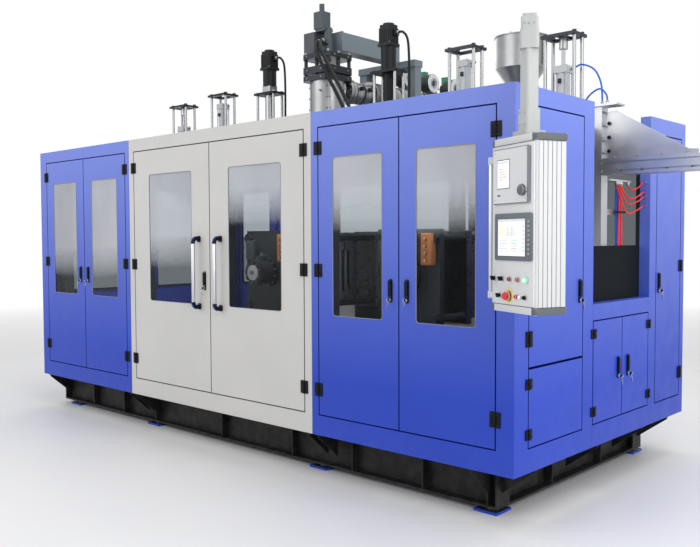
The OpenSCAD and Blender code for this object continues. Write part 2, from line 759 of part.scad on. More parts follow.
// Three flange plates on the head with their distance pieces and bolts
plate_z = [head_top, head_top + 60, head_top + 190];
plate_t = [44, 60, 42];
module head_flanges() {
    off = plate_w/2 - 34;
    color("darkslategray") translate([head_x, axis_y, 0]) {
        for (i = [0:2]) difference() {
            translate([0, 0, plate_z[i]]) cut_plate(plate_w, plate_t[i], 34);
            if (i == 2) translate([0, 0, plate_z[2] - 1]) cylinder(d = 70, h = 60, $fn = 48);
        }
        for (i = [0, 1], x = [-off, 0, off], y = [-off, 0, off]) if (x != 0 || y != 0)
            translate([x, y, plate_z[i] + plate_t[i]]) cylinder(d = i == 0 ? 24 : 32, h = plate_z[i + 1] - plate_z[i] - plate_t[i], $fn = 32);
    }
}

// Parison cylinder with its servo valve and feedback block
module parison_cylinder() {
    zt = plate_z[2] + plate_t[2];
    color("gray") translate([head_x, axis_y, zt]) {
        cylinder(d = 116, h = 150, $fn = 64);
        translate([0, 0, 20]) cylinder(d = 150, h = 18, $fn = 64);
        translate([0, 0, -50]) cylinder(d = 60, h = 60, $fn = 48);
        bar([-225, -70, 20], [-95, 60, 215]);
        bar([-100, -30, 60], [-50, 30, 120]);
        translate([-95, -55, 214]) cube([110, 110, 26]);
        translate([-110, -60, 236]) cube([105, 105, 150]);
        translate([-58, -8, 385]) cylinder(d = 46, h = 74, $fn = 32);
        translate([10, 0, 149]) cylinder(d = 70, h = 92, $fn = 48);
        // Port block of the two hoses
        translate([0, 0, 110]) {
            bar([-30, -78, -22], [66, -40, 22]);
            for (x = [-8, 40]) translate([x, -77, 0]) rotate([90, 0, 0]) cylinder(d = 36, h = 16, $fn = 32);
        }
    }
}

// Gantry over the barrel whose arm steadies the parison cylinder
module head_gantry() {
    z = plate_z[2] + plate_t[2] + 42;
    legs = 300;
    gy = 930;
    color("slategray") translate([head_x, 0, 0]) {
        bar([-18, axis_y + 76, z], [122, gy, z + 158]);
        bar([-20, axis_y + 60, z - 2], [124, axis_y + 77, z + 166]);
        bar([-legs - 50, gy - 60, z - 60], [legs + 50, gy + 60, z + 1]);
        for (s = [-1, 1]) translate([s*legs, gy, deck_z]) {
            box_tube(90, 90, z - 60 - deck_z + 1, 6);
            bar([-75, -75, 0], [75, 75, 14]);
        }
        translate([60, gy - 60, z - 1]) rotate([90, 0, 90]) linear_extrude(12, center = true)
            polygon([[0, 0], [0, -60], [-150, 0]]);
    }
}

// Barrel in heater covers from the head to the feed throat
module extruder_barrel() {
    y0 = axis_y + sqrt(pow(head_d/2, 2) - pow(45, 2));
    y1 = hopper_y - 190;
    color("silver") translate([head_x, 0, barrel_z]) rotate([-90, 0, 0]) {
        // Neck into the head, clamp flanges and adapter with its band heaters
        difference() {
            translate([0, 0, y0 - 8]) cylinder(d = 90, h = 130, $fn = 64);
            translate([0, barrel_z, axis_y]) rotate([90, 0, 0]) cylinder(d = head_d, h = 2*barrel_z, $fn = 96);
        }
        translate([0, 0, zone_y0 - 330]) cylinder(d = 230, h = 34, $fn = 64);
        translate([0, 0, zone_y0 - 290]) cylinder(d = 230, h = 34, $fn = 64);
        translate([0, 0, zone_y0 - 330]) cylinder(d = core_d, h = y1 - zone_y0 + 330, $fn = 64);
        for (i = [0, 1]) translate([0, 0, zone_y0 - 230 + i*110]) cylinder(d = core_d + 50, h = 84, $fn = 64);
        for (i = [0:zones - 1]) translate([0, 0, zone_y0 + i*zone_l]) cylinder(d = barrel_d, h = zone_l - zone_gap, $fn = 96);
        translate([0, 0, y1 - 60]) cylinder(d = 260, h = 60, $fn = 96);
    }
}

// Cooling blowers on the barrel with their terminal boxes
module barrel_blowers() {
    color("darkslategray") for (i = [1, 2, 3]) translate([head_x, zone_y0 + (i + 0.5)*zone_l - zone_gap/2, barrel_z + barrel_d/2]) blower();
}

// Blower standing on a heater cover: outlet duct, scroll with its inlet, motor and terminal box
module blower() {
    difference() {
        bar([-50, -55, -20], [50, 60, 60]);
        translate([0, 0, -barrel_d/2]) rotate([90, 0, 0]) cylinder(d = barrel_d, h = 200, center = true, $fn = 96);
    }
    translate([-50, 0, 108]) rotate([0, 90, 0]) linear_extrude(100) difference() {
        union() {
            circle(d = 190, $fn = 96);
            translate([-20, 0]) square([75, 95]);
        }
        circle(d = 60, $fn = 64);
    }
    translate([-52, 0, 108]) rotate([0, 90, 0]) cylinder(d = 178, h = 60, $fn = 96);
    translate([-120, 0, 108]) rotate([0, 90, 0]) cylinder(d = 112, h = 70, $fn = 64);
    translate([-112, -32, 160]) cube([70, 64, 66]);
}

// Gearbox, coupling and motor behind the feed throat
module extruder_drive() {
    y0 = hopper_y + 190;
    color("steelblue") translate([head_x, 0, barrel_z]) {
        bar([-260, y0 + 60, -260], [260, y0 + 420, 230]);
        bar([-200, y0 + 90, 225], [200, y0 + 390, 262]);
        translate([0, y0, 0]) rotate([-90, 0, 0]) cylinder(d = 300, h = 70, $fn = 96);
        translate([0, y0 + 410, -60]) rotate([-90, 0, 0]) cylinder(d = 220, h = 120, $fn = 96);
        translate([0, y0 + 520, -60]) rotate([-90, 0, 0]) cylinder(d = 380, h = 460, $fn = 96);
        translate([0, y0 + 975, -60]) rotate([-90, 0, 0]) cylinder(d = 400, h = 70, $fn = 96);
        for (a = [60:20:300]) if (a != 260 && a != 280)
            translate([0, y0 + 560, -60]) rotate([0, a, 0]) bar([-3, 0, -212], [3, 400, -180]);
        bar([-150, y0 + 580, -262], [150, y0 + 940, -200]);
        bar([150, y0 + 620, -130], [290, y0 + 860, 30]);
    }
}

// Stainless hopper on the feed throat, open at the top
module hopper() {
    zt = barrel_z + 1000;
    r = hopper_d/2;
    color("silver") translate([head_x, hopper_y, 0]) {
        difference() {
            translate([-150, -190, barrel_z - 150]) cube([300, 380, 310]);
            translate([0, 0, barrel_z + 40]) cylinder(d = 120, h = 400, $fn = 48);
        }
        rotate_extrude($fn = 96) polygon([[60, barrel_z + 159], [130, barrel_z + 159], [130, barrel_z + 174],
            [64, barrel_z + 174], [64, zt - 681], [r + 3, zt - 371], [r + 3, zt - 12],
            [r + 14, zt - 12], [r + 14, zt], [r, zt], [r, zt - 370], [60, zt - 681]]);
    }
}

// Steel stand on the floor that carries the barrel, the throat and the drive
module extruder_stand() {
    y0 = hy + 230;
    y1 = hopper_y + 1150;
    top = barrel_z - 300;
    color("slategray") {
        for (x = [head_x - 380, head_x + 380], y = [y0 + 60, (y0 + y1)/2, y1 - 60]) translate([x, y, 0]) {
            bar([-110, -110, 0], [110, 110, 16]);
            translate([0, 0, 15]) box_tube(120, 120, top - 130, 8);
        }
        for (x = [head_x - 380, head_x + 380], z = [300, top - 120]) bar([x - 60, y0, z], [x + 60, y1, z + 120]);
        for (y = [y0 + 60, saddle_y, (y0 + y1)/2, hopper_y - 60, hopper_y + 60, hopper_y + 270, hopper_y + 530, y1 - 60])
            bar([head_x - 380, y - 60, top - 120], [head_x + 380, y + 60, top]);
        for (y = [y0 + 60, y1 - 60]) bar([head_x - 380, y - 60, 300], [head_x + 380, y + 60, 420]);
        // Saddle of the barrel, block of the throat and feet of the gearbox and motor
        translate([head_x, saddle_y, 0]) difference() {
            bar([-110, -12, top - 1], [110, 12, barrel_z]);
            translate([0, 40, barrel_z]) rotate([90, 0, 0]) cylinder(d = core_d, h = 80, $fn = 96);
        }
        bar([head_x - 140, hopper_y - 150, top - 1], [head_x + 140, hopper_y + 150, barrel_z - 150]);
        bar([head_x - 240, hopper_y + 250, top - 1], [head_x + 240, hopper_y + 600, barrel_z - 260]);
        bar([head_x - 140, hopper_y + 760, top - 121], [head_x + 140, hopper_y + 1145, barrel_z - 60 - 202]);
    }
}

// Air cylinders of the pin and punch units, standing on the deck
module air_cylinders() {
    color("whitesmoke") {
        for (x = pin_units) translate([x, axis_y, deck_z]) difference() {
            air_cylinder(inner_cyl_l, 96);
            translate([0, 0, -1]) cylinder(d = piston_d + 2*slide_gap, h = pin_stroke + 25, $fn = 48);
        }
        for (x = punch_units) translate([x, axis_y, deck_z]) difference() {
            air_cylinder(outer_cyl_l, 104);
            translate([0, 0, outer_cyl_l - punch_stroke - 20]) cylinder(d = piston_d + 2*slide_gap, h = punch_stroke + 30, $fn = 48);
        }
    }
}

// Round barrel between two square end caps, with its tie rods, port blocks and rod gland
module air_cylinder(l, d) {
    for (z = [0, l - 56]) translate([0, 0, z]) linear_extrude(48) round_box_2d(d, d, 8);
    translate([0, 0, 47]) cylinder(d = d - 8, h = l - 102, $fn = 96);
    for (i = [-1, 1], j = [-1, 1]) translate([i*(d/2 - 9), j*(d/2 - 9), 0]) cylinder(d = 10, h = l - 2, $fn = 24);
    for (z = [24, l - 32]) translate([d/2 - 1, 0, z]) rotate([0, 90, 0]) cylinder(d = 22, h = 14, $fn = 32);
    translate([0, 0, l - 9]) cylinder(d = 50, h = 9, $fn = 48);
}

// Ring plate on four guide rods with the tools under the deck, which move as one.
// A driven-from-above frame hangs on the piston by a joint block under its ring.
module lift_frame(x, top, low, above) {
    color("silver") translate([x, axis_y, 0]) {
        difference() {
            translate([0, 0, top - ring_t]) linear_extrude(ring_t) round_box_2d(ring_l, ring_w, 6);
            translate([0, 0, top - ring_t - 1]) linear_extrude(ring_t + 2) round_box_2d(ring_l - 80, ring_w - 70, 6);
        }
        for (i = [-1, 1], j = [-1, 1]) translate([i*rod_dx/2, j*rod_dy/2, 0]) {
            translate([0, 0, low]) cylinder(d = rod_d, h = top + 6 - low, $fn = 48);
            translate([0, 0, top]) cylinder(r = 17, h = 14, $fn = 6);
        }
        if (above) {
            bar([-24, -ring_w/2 + 10, top - ring_t], [24, ring_w/2 - 10, top - 1]);
            translate([0, 0, top - 95]) cylinder(d = 60, h = 95 - ring_t + 1, $fn = 64);
            translate([0, 0, deck_z + outer_cyl_l - 15]) cylinder(d = piston_d, h = top - 95 - deck_z - outer_cyl_l + 16, $fn = 48);
        } else {
            translate([0, 0, low]) cylinder(d = piston_d, h = deck_z + pin_stroke + 15 - low, $fn = 48);
        }
        translate([0, 0, low - 1]) linear_extrude(26) round_box_2d(ring_l, ring_w - 20, 6);
        for (i = [-1, 1]) translate([i*70, 0, 0]) tool(low, above);
    }
}

// Blow pin with its holder, or the punch of the second unit
module tool(low, punch) {
    translate([0, 0, low - 60]) cylinder(d = pin_d + 30, h = 61, $fn = 48);
    if (punch) {
        translate([0, 0, low - 130]) cylinder(d = pin_d + 6, h = 72, $fn = 48);
    } else {
        translate([0, 0, low - 90]) cylinder(d1 = pin_d, d2 = pin_d + 22, h = 31, $fn = 48);
        translate([0, 0, low - 245]) cylinder(d = pin_d, h = 157, $fn = 48);
        translate([0, 0, low - 262]) cylinder(d1 = pin_d - 14, d2 = pin_d, h = 18, $fn = 48);
    }
}

// Servo actuators on their plates, with the guide rods below
module servo_units() {
    color("dimgray") {
        servo_unit(servo_units_x[0], 72, servo_top + 60, servo_top + 232);
        servo_unit(servo_units_x[1], 0, servo_top, servo_top + 220);
    }
}

// One actuator: plate on four rods, screw tube, adaptor, cylinder, motor and its cap
module servo_unit(x, adaptor, z_cyl, z_motor) {
    plate_top = servo_top;
    translate([x, axis_y, 0]) {
        translate([0, 0, plate_top - 20]) linear_extrude(20) round_box_2d(ring_l + 10, ring_w - 20, 5);
        for (i = [-1, 1], j = [-1, 1]) translate([i*rod_dx/2, j*rod_dy/2, 0]) {
            translate([0, 0, deck_z]) cylinder(d = rod_d, h = plate_top - 15 - deck_z, $fn = 48);
            translate([0, 0, deck_z]) cylinder(d = rod_d + 20, h = 24, $fn = 48);
            translate([0, 0, plate_top - 1]) cylinder(r = 15, h = 11, $fn = 6);
        }
        translate([0, 0, deck_z]) cylinder(d = 88, h = plate_top - 19 - deck_z, $fn = 64);
        translate([0, 0, deck_z]) cylinder(d = 112, h = 14, $fn = 64);
        if (adaptor > 0) translate([0, 0, plate_top - 1]) linear_extrude(z_cyl - plate_top + 2) round_box_2d(104, 104, 10);
        translate([0, 0, z_cyl]) cylinder(d = 128, h = z_motor - z_cyl - 20, $fn = 64);
        translate([0, 0, z_motor - 21]) linear_extrude(22) round_box_2d(136, 136, 12);
        translate([0, 0, z_motor]) linear_extrude(125) round_box_2d(124, 124, 16);
        translate([0, 0, z_motor + 124]) linear_extrude(26) round_box_2d(112, 112, 14);
        translate([0, 0, z_motor + 149]) cylinder(d = 92, h = 18, $fn = 64);
        // Connector at the motor's side
        translate([60, -22, z_motor + 60]) cube([36, 44, 44]);
    }
}

// Dark post and folded gusset that carry the take-out beam
module takeout_bracket() {
    x0 = hx - 175;
    zt = arm_z + 355;
    color("lightgray") {
        bar([x0, axis_y - 45, z0 + low_cab_h + seat_gap + 9], [x0 + 70, axis_y + 45, zt]);
        bar([x0 - 20, axis_y - 65, z0 + low_cab_h + seat_gap], [x0 + 90, axis_y + 65, z0 + low_cab_h + seat_gap + 10]);
        bar([x0, axis_y + 44, bundle_z - 228], [x0 + 20, axis_y + 345, bundle_z - 188]);
        bar([x0 + 20, axis_y + 44, bundle_z], [x0 + 92, axis_y + 370, bundle_z + 12]);
        for (b = bundle) translate([b[0], b[1], bundle_z - 14]) cylinder(d = 20, h = 15, $fn = 32);
        for (r = red_runs) translate([r[0][0], r[0][1], bundle_z - 14]) cylinder(d = 20, h = 15, $fn = 32);
        bar([col_x[3] + col_w/2, axis_y - 70, deck_z - deck_t - col_w], [x0 + 1, axis_y + 70, deck_z - deck_t]);
        translate([x0 + 69, axis_y + 6, arm_z]) rotate([90, 0, 0]) linear_extrude(12)
            polygon([[0, 0], [0, 318], [84, 322], [560, 36], [620, 30], [620, 0]]);
        bar([x0 + 69, axis_y - 40, arm_z], [x0 + 690, axis_y + 40, arm_z + 8]);
        translate([x0 - 10, axis_y - 60, zt - 1]) cube([190, 120, 12]);
        for (g = post_glands) translate([g[0], g[1], zt + 10]) cylinder(d = 20, h = 16, $fn = 32);
    }
}

// Extruded profile of the take-out beam, with a slot along each side
module takeout_beam() {
    x0 = hx - 105;
    s = 10;
    color("silver") difference() {
        bar([x0, axis_y - arm_w/2, arm_z - arm_w], [x0 + arm_l, axis_y + arm_w/2, arm_z]);
        for (k = [-1, 1]) {
            bar([x0 - 1, axis_y + k*27 - s/2, arm_z - 14], [x0 + arm_l + 1, axis_y + k*27 + s/2, arm_z + 1]);
            bar([x0 - 1, axis_y + k*27 - s/2, arm_z - arm_w - 1], [x0 + arm_l + 1, axis_y + k*27 + s/2, arm_z - arm_w + 14]);
        }
        for (k = [-1, 1], z = [-27, 27]) translate([0, 0, arm_z - arm_w/2 + z])
            bar([x0 - 1, axis_y + k*(arm_w/2 - 7) - 8, -s/2], [x0 + arm_l + 1, axis_y + k*(arm_w/2 - 7) + 8, s/2]);
    }
}

// Boom on the pivot spigot, with the head cap that holds the post
module pendant_boom() {
    zb = z1 + 90;
    color("lightgray") translate([pivot[0], pivot[1], 0]) rotate([0, 0, boom_dir]) {
        difference() {
            translate([0, 0, z1 + spigot_base + seat_gap]) cylinder(d = 100, h = 172, $fn = 64);
            translate([0, 0, z1]) cylinder(d = spigot_d + 2*slide_gap, h = spigot_h + 1, $fn = 64);
        }
        bar([30, -boom_w/2, zb + 6], [boom_l - 30, boom_w/2, zb + 90]);
        difference() {
            translate([boom_l, 0, 0]) {
                translate([0, 0, zb]) linear_extrude(96) round_box_2d(94, 94, 16);
                translate([0, 0, zb + 95]) linear_extrude(60) round_box_2d(86, 86, 14);
                translate([0, 0, zb + 154]) linear_extrude(18) round_box_2d(70, 70, 12);
            }
            translate([boom_l, 0, zb - 1]) cylinder(d = post_spigot_d + 2*slide_gap, h = post_spigot_h + 2, $fn = 64);
        }
    }
}

module round_box_2d(a, b, r) { translate([-a/2, -b/2]) round_rect(a, b, r); }

// Post between the head cap and the pendant, with its collar and foot
module pendant_post() {
    zt = z1 + 90 - seat_gap;
    color("gainsboro") translate([post[0], post[1], 0]) rotate([0, 0, pendant_turn]) {
        translate([0, 0, zt - 1]) cylinder(d = post_spigot_d, h = post_spigot_h, $fn = 64);
        translate([0, 0, pendant_top + 139]) linear_extrude(zt - pendant_top - 139) round_box_2d(boom_w, boom_w, 14);
        translate([0, 0, pendant_top + 29]) linear_extrude(111) round_box_2d(84, 84, 12);
        translate([0, 0, pendant_top]) linear_extrude(30) round_box_2d(122, 122, 10);
    }
}

// Corner profile of the pendant in plan: a box with its corners set back
module pendant_plan(grow) {
    offset_w = pendant_w + 2*grow;
    offset_d = pendant_d + 2*grow;
    round_box_2d(offset_w, offset_d, 14);
}

// Pendant: ribbed profile sides, end caps, front plate, instruments and buttons
module pendant_box() {
    cap = 34;
    color("gainsboro") translate([post[0], post[1], pendant_z]) rotate([0, 0, pendant_turn]) {
        difference() {
            translate([0, 0, cap - 1]) linear_extrude(pendant_h - 2*cap + 2) pendant_plan(-4);
            for (s = [-1, 1], i = [-2:2]) translate([s*(pendant_w/2 - 4), i*26, pendant_h/2])
                cube([6, 5, pendant_h - 2*cap - 4], center = true);
        }
        for (z = [0, pendant_h - cap]) translate([0, 0, z]) linear_extrude(cap) pendant_plan(0);
        face(pendant_w - 26, 40, pendant_h - 42, face_out);
        // Instrument, screen frame and their housings
        face_box(-160, 316, pendant_h - 334, pendant_h - 56, 12);
        face_box(-148, 324, pendant_h - 619, pendant_h - 383, 8);
        translate([111, -pendant_d/2 - 11, pendant_h - 271]) rotate([90, 0, 0]) cylinder(d = 52, h = 22, $fn = 64);
        for (i = [0:4]) button(-156 + i*70, top_row_z, i == 4 ? 30 : 24);
        for (x = [-105, 44, 118]) button(x, stop_z, 22);
        // Grip at the left side
        for (z = [61, pendant_h - 115]) bar([-pendant_w/2 - 56, -pendant_d/2 + 20, z], [-pendant_w/2 + 6, -pendant_d/2 + 50, z + 30]);
        translate([-pendant_w/2 - 56, -pendant_d/2 + 35, 55]) cylinder(d = 30, h = pendant_h - 135, $fn = 48);
        // Bezel of the emergency stop
        translate([stop_x, -pendant_d/2 + 5, stop_z]) rotate([90, 0, 0]) difference() {
            cylinder(d = 52, h = 16, $fn = 64);
            translate([0, 0, 4]) cylinder(d = stop_stem_d + 2*slide_gap, h = 20, $fn = 48);
        }
    }
}

// Raised plate on the pendant's front, w wide, between two heights
module face(w, z0p, z1p, t) {
    bar([-w/2, -pendant_d/2 + 4 - t, z0p], [w/2, -pendant_d/2 + 6, z1p]);
}

module face_box(x, w, za, zb, t) {
    bar([x, -pendant_d/2 - t, za], [x + w, -pendant_d/2 + 5, zb]);
}

module button(x, z, d) {
    translate([x, -pendant_d/2 + 5, z]) rotate([90, 0, 0]) cylinder(d = d + 6, h = 12, $fn = 48);
    translate([x, -pendant_d/2 + 5, z]) rotate([90, 0, 0]) cylinder(d = d - 3, h = 22, $fn = 48);
}

// Mushroom head of the emergency stop
module stop_button() {
    color("red") translate([post[0], post[1], pendant_z]) rotate([0, 0, pendant_turn])
        translate([stop_x, -pendant_d/2 + 5, stop_z]) rotate([90, 0, 0]) {
            translate([0, 0, face_out + 2.5 + button_travel]) cylinder(d = stop_stem_d, h = 17 - face_out - 1, $fn = 48);
            translate([0, 0, 16.5 + button_travel]) cylinder(d1 = 30, d2 = 42, h = 8, $fn = 64);
            translate([0, 0, 24.4 + button_travel]) cylinder(d1 = 42, d2 = 34, h = 7, $fn = 64);
        }
}

// Carriage with its base, two crossheads, tie bars and clamp cylinders
module carriage(x) {
    y0 = axis_y - carriage_dep/2;
    y1 = axis_y + carriage_dep/2;
    zc = carriage_z + carriage_t;
    color("dimgray") translate([x, 0, 0]) {
        bar([-carriage_l/2, y0, carriage_z], [carriage_l/2, y1, zc]);
        for (s = [-1, 1]) translate([0, axis_y, 0]) mirror([0, s < 0 ? 1 : 0, 0]) difference() {
            union() {
                bar([-platen_w/2, carriage_dep/2 - head_plate_t, zc - 1], [platen_w/2, carriage_dep/2, tie_z + tie_dz + 60]);
                translate([0, carriage_dep/2 - 1, tie_z]) rotate([-90, 0, 0]) cylinder(d = 200, h = clamp_l + 1, $fn = 96);
                translate([0, carriage_dep/2 + clamp_l - 41, tie_z]) rotate([-90, 0, 0]) cylinder(d = 220, h = 30, $fn = 96);
                translate([0, carriage_dep/2 - 1, tie_z]) rotate([-90, 0, 0]) cylinder(d = 240, h = 31, $fn = 96);
                for (k = [-1, 1]) translate([k*200, 0, zc - 1]) rotate([0, -90, 0]) linear_extrude(16, center = true)
                    polygon([[0, carriage_dep/2 - 240], [0, carriage_dep/2 - head_plate_t + 1], [300, carriage_dep/2 - head_plate_t + 1]]);
            }
            translate([0, carriage_dep/2 - head_plate_t - 1, tie_z]) rotate([-90, 0, 0])
                cylinder(d = clamp_rod_d + 2*slide_gap, h = head_plate_t + 1 + clamp_l - 10, $fn = 64);
        }
        for (i = [-1, 1], k = [-1, 1]) translate([i*tie_dx, y0 - 30, tie_z + k*tie_dz]) rotate([-90, 0, 0]) {
            cylinder(d = tie_d, h = carriage_dep + 60, $fn = 48);
            cylinder(d = tie_d + 30, h = 31, $fn = 6);
            translate([0, 0, carriage_dep + 29]) cylinder(d = tie_d + 30, h = 31, $fn = 6);
        }
        // Runner blocks that straddle the rails
        for (s = [-1, 1], i = [-1, 1]) translate([i*270, axis_y + s*bed_dy, carriage_z]) difference() {
            bar([-55, -44, -30], [55, 44, 1]);
            bar([-60, -rail_w/2 - slide_gap, -40], [60, rail_w/2 + slide_gap, 0]);
        }
    }
}

// One mould half on its platen and clamp rod; side = -1 is the front half
module mould_half(x, side) {
    face_y = axis_y + side*(mould_open + mould_gap);
    color("silver") translate([x, face_y, 0]) mirror([0, side < 0 ? 1 : 0, 0]) difference() {
        union() {
            bar([-mould_w/2, 0, mould_z], [mould_w/2, mould_t, mould_z + mould_h]);
            difference() {
                bar([-platen_w/2, mould_t - 1, mould_z - 60], [platen_w/2, mould_t + platen_t, mould_z + mould_h + 50]);
                for (i = [-1, 1], k = [-1, 1]) translate([i*tie_dx, 0, tie_z + k*tie_dz]) rotate([-90, 0, 0])
                    cylinder(d = tie_d + 2*slide_gap, h = mould_t + platen_t + 10, $fn = 48);
            }
            translate([0, mould_t + platen_t - 1, tie_z]) rotate([-90, 0, 0])
                cylinder(d = clamp_rod_d, h = carriage_dep/2 + clamp_grip - mould_gap - mould_t - platen_t + 1, $fn = 64);
        }
        // Half of the cavity and of its neck
        for (i = [-1, 1]) translate([i*70, 0, 0]) {
            translate([0, 0, mould_z + 80]) cylinder(d = 104, h = mould_h - 190, $fn = 64);
            translate([0, 0, mould_z + mould_h - 115]) cylinder(d = pin_d + 12, h = 120, $fn = 48);
        }
    }
}

// Tube swept along a list of points, with rings square to the route
function unit(v) = v/norm(v);
function ring_dir(p, i) = unit(p[min(i + 1, len(p) - 1)] - p[max(i - 1, 0)]);
module tube(p, d, n) {
    pts = [for (i = [0:len(p) - 1]) let (t = ring_dir(p, i), a = unit(cross(t, [0.3, 1, 0.2])), b = cross(t, a))
        for (k = [0:n - 1]) p[i] + d/2*(cos(360*k/n)*a + sin(360*k/n)*b)];
    rings = len(p);
    sides = [for (i = [0:rings - 2], k = [0:n - 1])
        [i*n + k, i*n + (k + 1)%n, (i + 1)*n + (k + 1)%n, (i + 1)*n + k]];
    caps = [[for (k = [n - 1:-1:0]) k], [for (k = [0:n - 1]) (rings - 1)*n + k]];
    polyhedron(points = pts, faces = concat(sides, caps), convexity = 4);
}

// Smooth route through a few chosen points
function spline(q, steps) = [for (i = [0:len(q) - 2], s = [0:steps - 1])
        spline_point(q[max(i - 1, 0)], q[i], q[i + 1], q[min(i + 2, len(q) - 1)], s/steps), q[len(q) - 1]];
function spline_point(a, b, c, d, t) =
    0.5*(2*b + (c - a)*t + (2*a - 5*b + 4*c - d)*t*t + (3*b - a - 3*c + d)*t*t*t);

// Route from a face at a, leaving along da, through a few points to a face at b
function route(a, da, mids, b, db) = concat([a], spline(concat([a + 16*da], mids, [b + 16*db]), 2), [b]);

gland_h = 40;
gland_z = deck_z + gland_h;

// Hoses from the parison cylinder's port block to the deck
port_z = head_top + 342;
head_hose_runs = [
    route([head_x + 40, axis_y - 93, port_z], [0, -1, 0], [[head_x + 64, axis_y - 150, port_z - 27],
        [head_x + 130, axis_y - 200, port_z - 122], [head_x + 270, axis_y - 215, port_z - 327],
        [head_x + 410, axis_y - 220, deck_z + 435], [head_x + 510, axis_y - 222, deck_z + 240]],
        [head_x + 540, axis_y - 224, gland_z], [0, 0, 1]),
    route([head_x - 8, axis_y - 93, port_z], [0, -1, 0], [[head_x + 14, axis_y - 158, port_z - 37],
        [head_x + 84, axis_y - 210, port_z - 137], [head_x + 226, axis_y - 230, port_z - 347],
        [head_x + 368, axis_y - 238, deck_z + 415], [head_x + 462, axis_y - 242, deck_z + 230]],
        [head_x + 485, axis_y - 245, gland_z], [0, 0, 1])];

// Cables from the actuators' connectors to the deck
function motor_run(u, m) = route([u + 96, axis_y, m], [1, 0, 0], [[u + 155, axis_y, m - 9], [u + 200, axis_y, m - 74],
    [u + 217, axis_y - 2, m - 244], [u + 220, axis_y - 5, m - 544], [u + 220, axis_y - 8, deck_z + 180]],
    [u + 220, axis_y - 10, gland_z], [0, 0, 1]);
motor_runs = [motor_run(servo_units_x[0], servo_top + 314), motor_run(servo_units_x[1], servo_top + 302)];
deck_glands = [[head_x + 540, axis_y - 224, 44], [head_x + 485, axis_y - 245, 44],
    [servo_units_x[0] + 220, axis_y - 10, 34], [servo_units_x[1] + 220, axis_y - 10, 34]];

// Air hoses from the outer cylinder's ports to the take-out post
port_x = right_x + right_pitch + 65;
post_z = arm_z + 381;
post_glands = [[hx - 125, axis_y], [hx - 75, axis_y - 30]];
air_hose_runs = [
    route([port_x, axis_y, deck_z + outer_cyl_l - 32], [1, 0, 0], [[port_x + 75, axis_y, deck_z + 436],
        [port_x + 165, axis_y, deck_z + 390], [port_x + 215, axis_y, deck_z + 290]], [hx - 125, axis_y, post_z], [0, 0, 1]),
    route([port_x, axis_y, deck_z + 24], [1, 0, 0], [[port_x + 65, axis_y - 8, deck_z + 80],
        [port_x + 125, axis_y - 18, deck_z + 200], [port_x + 215, axis_y - 28, deck_z + 250],
        [port_x + 265, axis_y - 30, deck_z + 210]], [hx - 75, axis_y - 30, post_z], [0, 0, 1])];

// Bundle of hoses from the take-out post's arm to the low cabinet, as [x, y, sway]
bundle_z = 2040;
bundle = [[hx - 142, axis_y + 262, 5], [hx - 118, axis_y + 262, -6], [hx - 142, axis_y + 292, 4],
    [hx - 118, axis_y + 292, 6], [hx - 142, axis_y + 322, -4]];
bundle_top = bundle_z - 14;
bundle_low = z0 + low_cab_h + 14;
bundle_runs = [for (b = bundle) route([b[0], b[1], bundle_top], [0, 0, -1], [[b[0] - 3, b[1] - b[2]/2, bundle_top - 150],
    [b[0] - 2, b[1] + b[2], bundle_top - 360], [b[0], b[1] + b[2]/2, bundle_low + 150]], [b[0], b[1], bundle_low], [0, 0, 1])];

// Red hoses that sag from the arm to the far column
red_z = [2045, 1976, 1940, 1880];
red_y = [axis_y + 352, axis_y + 232, axis_y + 202, axis_y + 172];
red_end = -hy + col_y - 14;
red_runs = [for (i = [0:3]) route([hx - 98, red_y[i], bundle_top], [0, 0, -1],
    [[hx - 94 + 4*i, (2*red_y[i] + red_end)/3 + 12, min(bundle_top, red_z[i]) - 34 - 4*i],
     [hx - 70 + 3*i, (red_y[i] + 2*red_end)/3 + 6, red_z[i] - 40]],
    [hx - 37, red_end, red_z[i]], [0, -1, 0])];

module head_hoses() {
    color("black") {
        for (p = head_hose_runs) tube(p, 30, 10);
        for (p = motor_runs) tube(p, 20, 8);
    }
}
module air_hoses() {
    color("dodgerblue") {
        for (p = air_hose_runs) tube(p, 12, 8);
        for (p = bundle_runs) tube(p, 14, 8);
        for (p = red_runs) tube(p, 10, 8);
    }
}

base_frame();
levelling_feet();
left_housing();
centre_housing();
right_housing();
outlet_housing();
cover_panels();
cover_panes();
hinge_leaves();
machine_frame();
shuttle_rails();
top_deck();
die_head();
head_flanges();
parison_cylinder();
head_gantry();
extruder_barrel();
barrel_blowers();
extruder_drive();
hopper();
extruder_stand();
air_cylinders();
servo_units();
takeout_bracket();
takeout_beam();
head_hoses();
air_hoses();
front_door(open_left, win_margin, false, true);  // door_left_outer
front_door(open_left, win_margin, true, true);  // door_left_inner
front_door(open_centre, centre_win_margin, false, true);  // door_centre_left
front_door(open_centre, centre_win_margin, true, false);  // door_centre_right
front_door(open_right, win_margin, false, true);  // door_right_inner
front_door(open_right, win_margin, true, true);  // door_right_outer
front_pane(open_left, win_margin, false);  // pane_left_outer
front_pane(open_left, win_margin, true);  // pane_left_inner
front_pane(open_centre, centre_win_margin, false);  // pane_centre_left
front_pane(open_centre, centre_win_margin, true);  // pane_centre_right
front_pane(open_right, win_margin, false);  // pane_right_inner
front_pane(open_right, win_margin, true);  // pane_right_outer
pull_handle(-1);  // pull_handle_left
pull_handle(1);  // pull_handle_right
color("royalblue") on_right(0)  // end_door_upper
    end_door(end_door, [end_split + 1, cab_h - top_margin], upper_hinges, hinge_h, true, 750, 1016);
color("royalblue") on_right(0)  // end_door_lower
    end_door(end_door, [bottom_margin, end_split - 1], lower_hinges, small_hinge_h, true, 0, 0);
